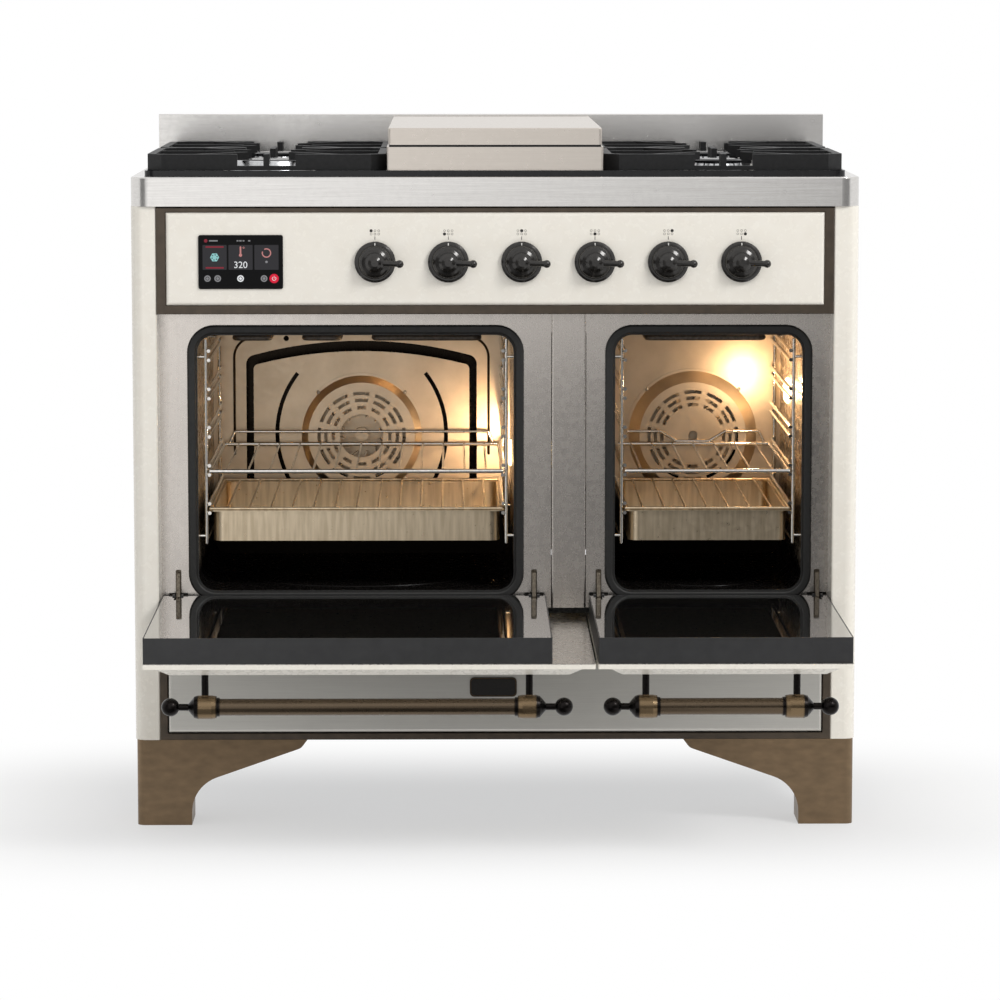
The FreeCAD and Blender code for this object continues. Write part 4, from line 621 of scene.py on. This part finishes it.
def displayShapes():
    # thin lit shapes in three layers, each laid on the one below
    x, z, d = display["x"], display["z"], display["depth"]
    near = display["face"] - display["lift"]
    left, middle, right = [x + column for column in display["columns"]]
    lit = {key: [] for key in glows}

    def put(key, outline, layer=1):
        lit[key].append(flatShape(outline, near - layer * d, d))

    tile, fan, heatBar = display["tile"], display["fan"], display["heatBar"]
    for centre in (left, middle, right):
        put("tile", plateBox((centre, z + tile["z"]), tile["half"], tile["corner"]), 0)
    # first tile: a fan symbol between two heating bars
    put("teal", disc(left, z + fan["z"], fan["radius"], 6))
    for blade in range(6):
        turn = blade * math.pi / 3 + fan["turn"]
        bx, bz = left + fan["bladeRing"] * math.cos(turn), z + fan["z"] + fan["bladeRing"] * math.sin(turn)
        put("tile", disc(bx, bz, fan["blade"], 10), 2)
    for height in heatBar["z"]:
        put("dimRed", plateBox((left, z + height), heatBar["half"], heatBar["corner"]))
    # second tile: a thermometer over the set temperature
    stem, bulb, degree = display["stem"], display["bulb"], display["degree"]
    put("rose", plateBox((middle, z + stem["z"]), stem["half"], stem["corner"]))
    put("rose", disc(middle, z + bulb["z"], bulb["radius"]))
    rings = [disc(middle + degree["x"], z + degree["z"], radius) for radius in degree["radii"]]
    lit["rose"].append(bandShape(*rings, near - d, d))
    # third tile: a ring with a gap and a dot below
    timer, dot = display["timer"], display["dot"]
    put("rose", arcBand(right, z + timer["z"], *timer["radii"], *np.radians(timer["turns"])))
    put("grey", disc(right, z + dot["z"], dot["radius"]))
    # the row of round keys, the last of them the red one
    keyHeight = z + display["keyHeight"]
    for place, radius, key in display["keys"]:
        put(key, disc(x + place, keyHeight, radius))
        rings = [disc(x + place, keyHeight, radius * share) for share in display["keyRing"]]
        lit["tile"].append(bandShape(*rings, near - 2 * d, d))
    power = display["power"]
    middle, stem = x + power["x"], power["stem"]
    put("red", disc(middle, keyHeight, power["radius"]))
    put("pale", arcBand(middle, keyHeight, *power["radii"], *np.radians(power["turns"])), 2)
    put("pale", plateBox((middle, keyHeight + stem["z"]), stem["half"], stem["corner"]), 2)
    # the thin status line above the tiles
    status = display["status"]
    statusHeight = z + status["z"]
    place, radius = status["sign"]
    put("dimRed", disc(x + place, statusHeight, radius, 6))
    place, half, corner = status["line"]
    put("grey", plateBox((x + place, statusHeight), (half, status["half"]), corner))
    for place, half in status["marks"]:
        put("grey", plateBox((x + place, statusHeight), (half, status["half"]), status["corner"]))
    return lit


def letteredMesh(name, words, size, at):
    # plain numbers in Blender's own face, laid on a wall that faces -Y
    curve = bpy.data.curves.new(name, "FONT")
    curve.body, curve.size, curve.extrude = words, size, 0.0001
    curve.align_x, curve.align_y = "CENTER", "CENTER"
    holder = bpy.data.objects.new(name, curve)
    bpy.context.scene.collection.objects.link(holder)
    bpy.context.view_layer.update()
    mesh = bpy.data.meshes.new_from_object(holder.evaluated_get(bpy.context.evaluated_depsgraph_get()))
    bpy.data.objects.remove(holder)
    mesh.transform(Matrix.Translation(at) @ Matrix.Rotation(math.radians(90), 4, "X"))
    points = [v.co[:] for v in mesh.vertices]
    faces = [list(p.vertices) for p in mesh.polygons]
    bpy.data.meshes.remove(mesh)
    return np.array(points), faces


for key, shapes in displayShapes().items():
    if key == "pale":
        number = display["number"]
        at = (display["x"], display["face"] - number["lift"], display["z"] + number["z"])
        shapes.append(letteredMesh("setTemperature", number["text"], number["size"], at))
    if shapes:
        addPiece("display_" + key, combined(shapes), glows[key], "body")
print("display drawn")

# ---- print and marks for the knobs ----

knobPrint = {
    "thick": 0.00012,
    "tick": {"z": 0.0326, "half": (0.0004, 0.0024), "corner": 0.0002},
    "symbol": 0.0404, "pitch": (0.0052, 0.0045), "ring": (0.00102, 0.0017), "dotOn": 0.0022,
    "filled": [(0, 1), (0, 0), (1, 1), (1, 0), (2, 1), (2, 0)],
    "index": {"y": -0.14085, "z": 0.0245, "half": (0.0007, 0.0017), "corner": 0.0003, "thick": 0.0008},
}


def fasciaPrint():
    y, t = cooker["fasciaFace"] - knobPrint["thick"], knobPrint["thick"] * 2
    faint, dark = [], []
    for x, filled in zip(cooker["knobs"], knobPrint["filled"]):
        z = cooker["knobHeight"]
        tick = knobPrint["tick"]
        dark.append(flatShape(plateBox((x, z + tick["z"]), tick["half"], tick["corner"], 3), y, t))
        for column in range(3):
            for row in range(2):
                px = x + (column - 1) * knobPrint["pitch"][0]
                pz = z + knobPrint["symbol"] + (row - 0.5) * knobPrint["pitch"][1]
                if (column, row) == filled:
                    dark.append(flatShape(disc(px, pz, knobPrint["dotOn"], 20), y, t))
                else:
                    rings = [disc(px, pz, radius, 16) for radius in knobPrint["ring"]]
                    faint.append(bandShape(*rings, y, t))
    return combined(faint), combined(dark)


faintPrint, darkPrint = fasciaPrint()
addPiece("fascia_print_rings", faintPrint, finish["printGrey"], "body")
addPiece("fascia_print_marks", darkPrint, finish["knobBlack"], "body")
index = knobPrint["index"]
for k, x in enumerate(cooker["knobs"]):
    outline = plateBox((x, cooker["knobHeight"] + index["z"]), index["half"], index["corner"], 3)
    mark = flatShape(outline, index["y"], index["thick"])
    addPiece("knob_mark_" + str(k + 1), mark, finish["markWhite"], "knob_" + str(k + 1) + "_body")
print("knob marks made")

# ---- bare badge plate on the drawer ----

badge = {"x": -0.003, "z": 0.1945, "half": (0.0325, 0.0135), "corner": 0.006, "thick": 0.0022, "sunk": 0.0003,
         "rim": {"inner": (0.0018, 0.0012), "outer": (0.0006, 0.0004), "proud": 0.0005, "thick": 0.0007}}


def badgeOutline(inset, lessCorner):
    half = (badge["half"][0] - inset, badge["half"][1] - inset)
    return plateBox((badge["x"], badge["z"]), half, badge["corner"] - lessCorner)


def badgeShapes():
    # a flat plate with rounded corners, and a raised rim round it
    rim, face = badge["rim"], cooker["drawerFace"] - badge["thick"]
    plate = flatShape(badgeOutline(0, 0), face, badge["thick"] + badge["sunk"])
    inner, outer = badgeOutline(*rim["inner"]), badgeOutline(*rim["outer"])
    band = bandShape(inner, outer, face - rim["proud"], rim["thick"])
    return plate, band


plateShape, rimShape = badgeShapes()
addPiece("badge_plate", plateShape, finish["badgeBlack"], "drawer")
addPiece("badge_rim", rimShape, finish["bronzeBar"], "drawer")

# ---- screws ----


def screwShape(at, direction, radius):
    # a domed head with its rim, turned about the screw's line
    dome = [(0, 0.55), (0.35, 0.52), (0.75, 0.36), (1.0, 0.08), (1.0, -0.2), (0, -0.2)]
    return turnedShape(np.array(dome) * radius, at, direction, 18)


backRows = {"radius": 0.0042, "across": (-0.48, 0.48, 7), "ends": (0.135, 0.845),
            "up": (0.25, 0.73, 4), "sides": (-0.49, 0.49)}
backPlaces = [(x, z) for x in np.linspace(*backRows["across"]) for z in backRows["ends"]]
backPlaces += [(x, z) for z in np.linspace(*backRows["up"]) for x in backRows["sides"]]
backScrews = [screwShape((x, cooker["backFace"], z), (0, 1, 0), backRows["radius"]) for x, z in backPlaces]
addPiece("back_screws", combined(backScrews), finish["screwSteel"], "body")

ovenPlaces = {"left": {"x": -0.1935, "cavity": (-0.413, 0.026), "screwRing": 0.0905, "lampHeight": 0.489},
              "right": {"x": 0.297, "cavity": (0.167, 0.427), "screwRing": 0.0965, "lampHeight": 0.579}}
ovenInside = {"fanHeight": 0.499, "baffleFace": 0.3195, "floor": 0.322, "top": 0.679, "corner": 0.024}
fanScrew = {"radius": 0.0028, "lift": 0.0015, "turns": (45, 135, 225, 315)}
fanScrews = []
for oven in ovenPlaces.values():
    for turn in np.radians(fanScrew["turns"]):
        x = oven["x"] + oven["screwRing"] * math.cos(turn)
        z = ovenInside["fanHeight"] + oven["screwRing"] * math.sin(turn)
        at = (x, ovenInside["baffleFace"] - fanScrew["lift"], z)
        fanScrews.append(screwShape(at, (0, -1, 0), fanScrew["radius"]))
addPiece("fan_cover_screws", combined(fanScrews), finish["screwSteel"], "body")

# ---- pressed beads in the cavities, and the hinge plates' cross bars ----

bead = {"half": 0.188, "foot": 0.470, "mid": 0.56, "head": 0.645, "corner": 0.030, "inward": 0.02,
        "radius": 0.0019}
oval = {"wide": 0.36, "deep": 0.115, "y": 0.075, "radius": 0.0009, "lift": 0.0002, "points": 64}
hingeBar = {"arms": (-0.4415, 0.0545, 0.1445, 0.4495), "z": 0.3167, "half": (0.0135, 0.0019),
            "corner": 0.0008, "lift": 0.0006, "thick": 0.0008}


def baffleBeads(x):
    # up one side of the left baffle and a quarter circle in over the top, and its mirror image
    shapes = []
    turn = np.linspace(0, math.pi / 2, 10)
    for side in (-1, 1):
        edge = x + side * bead["half"]
        centre = edge - side * bead["corner"]
        xs = np.concatenate([[edge, edge], centre + side * bead["corner"] * np.cos(turn),
                             [centre - side * bead["inward"]]])
        zs = np.concatenate([[bead["foot"], bead["mid"]], bead["head"] + bead["corner"] * (np.sin(turn) - 1),
                             [bead["head"]]])
        path = np.column_stack([xs, np.full(len(xs), ovenInside["baffleFace"]), zs])
        shapes.append(tubeShape(path, bead["radius"], 8))
    return combined(shapes)


def floorBeads():
    # an oval bead on each cavity floor: x = a cos t, y = b sin t
    shapes = []
    t = np.linspace(0, 2 * math.pi, oval["points"], endpoint=False)
    height = np.full(oval["points"], ovenInside["floor"] + oval["lift"])
    for oven in ovenPlaces.values():
        wide = oval["wide"] * (oven["cavity"][1] - oven["cavity"][0])
        ring = np.column_stack([oven["x"] + wide * np.cos(t), oval["y"] + oval["deep"] * np.sin(t), height])
        shapes.append(tubeShape(ring, oval["radius"], 8, closed=True))
    return combined(shapes)


def hingeBars():
    # a flat cross bar behind each hinge arm, on the oven front
    y = cooker["frameFace"] - hingeBar["lift"]
    half, corner = hingeBar["half"], hingeBar["corner"]
    outlines = [plateBox((arm, hingeBar["z"]), half, corner, 3) for arm in hingeBar["arms"]]
    return combined([flatShape(outline, y, hingeBar["thick"]) for outline in outlines])


# the baffle beads carry painted shade, dark for the shaded groove
addPiece("baffle_beads", baffleBeads(ovenPlaces["left"]["x"]), finish["beadGrooveShade"], "body")
addPiece("floor_beads", floorBeads(), finish["linerSteel"], "body")
addPiece("hinge_cross_bars", hingeBars(), finish["knobBlack"], "body")

# ---- soft lips inside the oven seals, and a dark strip in the gap under the griddle's lid: painted shade ----

sealLip = {"wide": 0.0026, "lift": 0.0012, "thick": 0.0014}
lidGapShade = {"z": 0.94155, "half": (0.1455, 0.00165), "corner": 0.0004, "y": -0.1022, "thick": 0.0012}


def mouthOutline(oven, out):
    # the cavity's mouth, grown outwards
    x = (oven["cavity"][0] - out, oven["cavity"][1] + out)
    return roundedBox(x, (ovenInside["floor"] - out, ovenInside["top"] + out), ovenInside["corner"] + out, 10)


def sealLips():
    # a thin dark band round each cavity mouth, from the liner's edge out to the seal
    y = cooker["frameFace"] - sealLip["lift"]
    shapes = []
    for oven in ovenPlaces.values():
        inner, outer = mouthOutline(oven, 0.0), mouthOutline(oven, sealLip["wide"])
        shapes.append(bandShape(inner, outer, y, sealLip["thick"]))
    return combined(shapes)


addPiece("seal_lips", sealLips(), finish["sealRubber"], "body")
# painted shade: a dark strip behind the gap under the lid, where the gap is in shade
lidGapShadeOutline = plateBox((0.0, lidGapShade["z"]), lidGapShade["half"], lidGapShade["corner"], 3)
addPiece("lid_gap_shade", flatShape(lidGapShadeOutline, lidGapShade["y"], lidGapShade["thick"]), finish["castIron"], "body")

# ---- spark electrodes beside the burners ----

# x, distance behind the front edge, and radius of each burner
burnerPlaces = [(-0.3146, 0.161, 0.061), (-0.3146, 0.425, 0.045),
                (0.3146, 0.161, 0.045), (0.3146, 0.425, 0.045)]
electrode = {
    "clear": 0.006, "turns": (205, 335),
    "ceramic": [(0, 0), (0.0032, 0), (0.0032, 0.006), (0.0024, 0.0065), (0.0024, 0.0105), (0, 0.0105)],
    "tip": [(0, 0.0100), (0.0009, 0.0100), (0.0009, 0.0150), (0, 0.0155)],
}


def electrodes():
    white, steel = [], []
    for x, depth, radius in burnerPlaces:
        away, middle = radius + electrode["clear"], cooker["front"] + depth
        for turn in np.radians(electrode["turns"]):
            at = (x + away * math.cos(turn), middle + away * math.sin(turn), cooker["trayFloor"])
            white.append(turnedShape(electrode["ceramic"], at, (0, 0, 1), 16))
            steel.append(turnedShape(electrode["tip"], at, (0, 0, 1), 10))
    return combined(white), combined(steel)


whiteParts, steelParts = electrodes()
addPiece("electrode_ceramics", whiteParts, finish["ceramicWhite"], "body")
addPiece("electrode_tips", steelParts, finish["screwSteel"], "body")
print("small fittings made")

# ---- floor, lights, camera ----

stageLook = {
    "floorColor": (0.78, 0.78, 0.78, 1), "floorReach": 40, "floorGlow": (0.53, 1.0), "fade": (0.0, 0.48),
    "half": (0.5, 0.13, 0), "sky": 0.7,
    "key": {"at": (3.6, -3.9, 4.4), "aim": (0, -0.1, 0.6), "size": (1.6, 1.6), "power": 160},
}


def seenRays(tree):
    # 1 for what the camera, a gloss or a glass looks at, 0 for the light that falls on things
    path = tree.nodes.new("ShaderNodeLightPath")
    seen = path.outputs["Is Camera Ray"]
    for label in ("Is Glossy Ray", "Is Transmission Ray"):
        either = tree.nodes.new("ShaderNodeMath")
        either.operation = "MAXIMUM"
        tree.links.new(seen, either.inputs[0])
        tree.links.new(path.outputs[label], either.inputs[1])
        seen = either.outputs[0]
    return seen


def makeFloor():
    # the lit floor is mixed with plain white, about half near the cooker and wholly far away
    mesh = bpy.data.meshes.new("floor")
    far = stageLook["floorReach"]
    mesh.from_pydata([(-far, -far, 0), (far, -far, 0), (far, far, 0), (-far, far, 0)], [], [(0, 1, 2, 3)])
    floor = bpy.data.objects.new("floor", mesh)
    bpy.context.scene.collection.objects.link(floor)
    material = bpy.data.materials.new("paleFloor")
    material.use_nodes = True
    tree = material.node_tree
    shader = tree.nodes["Principled BSDF"]
    shader.inputs["Base Color"].default_value = stageLook["floorColor"]
    shader.inputs["Roughness"].default_value = 0.6
    shader.inputs["Specular IOR Level"].default_value = 0.1
    white = tree.nodes.new("ShaderNodeEmission")
    where = tree.nodes.new("ShaderNodeTexCoord")
    # how far outside the cooker's own footprint a point of the floor lies
    place = where.outputs["Object"]
    steps = [("ABSOLUTE", None), ("SUBTRACT", stageLook["half"]), ("MAXIMUM", (0, 0, 0)), ("LENGTH", None)]
    for operation, second in steps:
        away = tree.nodes.new("ShaderNodeVectorMath")
        away.operation = operation
        tree.links.new(place, away.inputs[0])
        if second:
            away.inputs[1].default_value = second
        place = away.outputs["Value" if operation == "LENGTH" else "Vector"]
    fade = tree.nodes.new("ShaderNodeMapRange")
    fade.interpolation_type = "SMOOTHSTEP"
    fade.inputs["From Min"].default_value, fade.inputs["From Max"].default_value = stageLook["fade"]
    fade.inputs["To Min"].default_value, fade.inputs["To Max"].default_value = stageLook["floorGlow"]
    tree.links.new(place, fade.inputs["Value"])
    share = tree.nodes.new("ShaderNodeMath")
    share.operation = "MULTIPLY"
    tree.links.new(fade.outputs["Result"], share.inputs[0])
    tree.links.new(seenRays(tree), share.inputs[1])
    mix = tree.nodes.new("ShaderNodeMixShader")
    tree.links.new(share.outputs[0], mix.inputs["Fac"])
    tree.links.new(shader.outputs[0], mix.inputs[1])
    tree.links.new(white.outputs[0], mix.inputs[2])
    tree.links.new(mix.outputs[0], tree.nodes["Material Output"].inputs["Surface"])
    mesh.materials.append(material)


def makeSky():
    world = bpy.data.worlds.new("studio")
    bpy.context.scene.world = world
    world.use_nodes = True
    tree = world.node_tree
    background = tree.nodes["Background"]
    background.inputs["Color"].default_value = (1, 1, 1, 1)
    level = tree.nodes.new("ShaderNodeMapRange")
    level.inputs["To Min"].default_value = stageLook["sky"]
    level.inputs["To Max"].default_value = 1.0
    tree.links.new(seenRays(tree), level.inputs["Value"])
    tree.links.new(level.outputs["Result"], background.inputs["Strength"])


# screens before the cooker that only glossy surfaces see, with a brightness along x: two upright, one flat
screens = {
    "upper": {"y": (-1.6, -1.6), "x": (-2.6, 2.6), "z": (0.58, 1.5), "peak": 1.4,
              "levels": [(-2.6, 0.25), (-1.15, 0.25), (-0.85, 1.35), (-0.3, 1.2),
                         (0.1, 1.0), (0.5, 0.8), (1.0, 0.3)]},
    "lower": {"y": (-1.6, -1.6), "x": (-2.6, 2.6), "z": (0.003, 0.58), "peak": 1.4,
              "levels": [(-2.6, 0.25), (-1.15, 0.3), (-0.8, 1.15), (-0.4, 0.85),
                         (0.05, 0.22), (0.3, 0.12), (0.57, 0.02)]},
    "ground": {"y": (-0.55, -1.6), "x": (-2.6, 2.6), "z": (0.003, 0.003), "peak": 1.4,
               "levels": [(-2.6, 0.4), (-1.0, 0.5), (-0.6, 0.36), (-0.1, 0.02),
                          (0.15, 0.2), (0.4, 1.0), (0.7, 0.9)]},
}


def makeScreen(name, look):
    (x0, x1), (z0, z1) = look["x"], look["z"]
    mesh = bpy.data.meshes.new("screen_" + name)
    y0, y1 = look["y"]
    corners = [(x0, y1, z0), (x1, y1, z0), (x1, y0, z1), (x0, y0, z1)]
    mesh.from_pydata(corners, [], [(3, 2, 1, 0)])
    screen = bpy.data.objects.new("screen_" + name, mesh)
    bpy.context.scene.collection.objects.link(screen)
    material = bpy.data.materials.new("screenLight_" + name)
    material.use_nodes = True
    tree = material.node_tree
    tree.nodes.remove(tree.nodes["Principled BSDF"])
    glow = tree.nodes.new("ShaderNodeEmission")
    where = tree.nodes.new("ShaderNodeTexCoord")
    split = tree.nodes.new("ShaderNodeSeparateXYZ")
    tree.links.new(where.outputs["Object"], split.inputs[0])
    along = tree.nodes.new("ShaderNodeMapRange")
    along.inputs["From Min"].default_value, along.inputs["From Max"].default_value = x0, x1
    tree.links.new(split.outputs["X"], along.inputs["Value"])
    ramp = tree.nodes.new("ShaderNodeValToRGB")
    stops = ramp.color_ramp.elements
    while len(stops) < len(look["levels"]):
        stops.new(1.0)
    for stop, (x, level) in zip(stops, look["levels"]):
        share = level / look["peak"]
        stop.position, stop.color = (x - x0) / (x1 - x0), (share, share, share, 1)
    tree.links.new(along.outputs["Result"], ramp.inputs["Fac"])
    tree.links.new(ramp.outputs["Color"], glow.inputs["Color"])
    glow.inputs["Strength"].default_value = look["peak"]
    tree.links.new(glow.outputs[0], tree.nodes["Material Output"].inputs["Surface"])
    mesh.materials.append(material)
    screen.visible_camera = screen.visible_diffuse = screen.visible_shadow = False
    screen.visible_transmission = screen.visible_volume_scatter = False


def addArea(name, at, aim, size, power, color=(1, 1, 1)):
    light = bpy.data.lights.new(name, "AREA")
    light.shape, light.size, light.size_y = "RECTANGLE", size[0], size[1]
    light.energy, light.color = power, color
    lamp = bpy.data.objects.new(name, light)
    lamp.location = at
    lamp.rotation_mode = "QUATERNION"
    lamp.rotation_quaternion = (Vector(aim) - Vector(at)).to_track_quat("-Z", "Y")
    bpy.context.scene.collection.objects.link(lamp)
    return lamp


def addBulb(name, at, radius, power, color):
    light = bpy.data.lights.new(name, "POINT")
    light.energy, light.color, light.shadow_soft_size = power, color, radius
    lamp = bpy.data.objects.new(name, light)
    lamp.location = at
    bpy.context.scene.collection.objects.link(lamp)
    return lamp


makeFloor()
makeSky()
addArea("key", **stageLook["key"])
for name, look in screens.items():
    makeScreen(name, look)
ovenLight = {"color": (1.0, 0.7, 0.42),
             "left": {"inset": 0.012, "y": 0.17, "size": (0.03, 0.03), "power": 1.2,
                      "aim": (0.08, 0.30, 0.50)},
             "right": {"inset": 0.05, "y": 0.20, "radius": 0.012, "power": 0.62}}


def addOvenLights():
    # on the left a lens that shines across the cavity, on the right a bare bulb
    left, lens = ovenPlaces["left"], ovenLight["left"]
    at = (left["cavity"][1] - lens["inset"], lens["y"], left["lampHeight"])
    aim = (left["cavity"][0] + lens["aim"][0], lens["aim"][1], lens["aim"][2])
    addArea("oven_light_left", at, aim, lens["size"], lens["power"], ovenLight["color"])
    right, bulb = ovenPlaces["right"], ovenLight["right"]
    at = (right["cavity"][1] - bulb["inset"], bulb["y"], right["lampHeight"])
    addBulb("oven_light_right", at, bulb["radius"], bulb["power"], ovenLight["color"])


addOvenLights()

# the focal length is in pixels of a picture 1000 pixels wide
view = {"at": (-0.061, -6.0305, 1.1492), "yaw": 0.654, "pitch": 6.711,
        "focal": 4303.5, "pixels": 1000, "sensor": 36.0}
camera = bpy.data.cameras.new("camera")
camera.sensor_width = view["sensor"]
camera.lens = view["focal"] / view["pixels"] * view["sensor"]
camera.clip_end = 100
cameraObject = bpy.data.objects.new("camera", camera)
cameraObject.location = view["at"]
yaw, pitch = math.radians(view["yaw"]), math.radians(view["pitch"])
ahead = Vector((math.sin(yaw) * math.cos(pitch), math.cos(yaw) * math.cos(pitch), -math.sin(pitch)))
cameraObject.rotation_mode = "QUATERNION"
cameraObject.rotation_quaternion = ahead.to_track_quat("-Z", "Y")
bpy.context.scene.collection.objects.link(cameraObject)
bpy.context.scene.camera = cameraObject
bpy.context.scene.view_settings.view_transform = "Standard"
print("stage set")
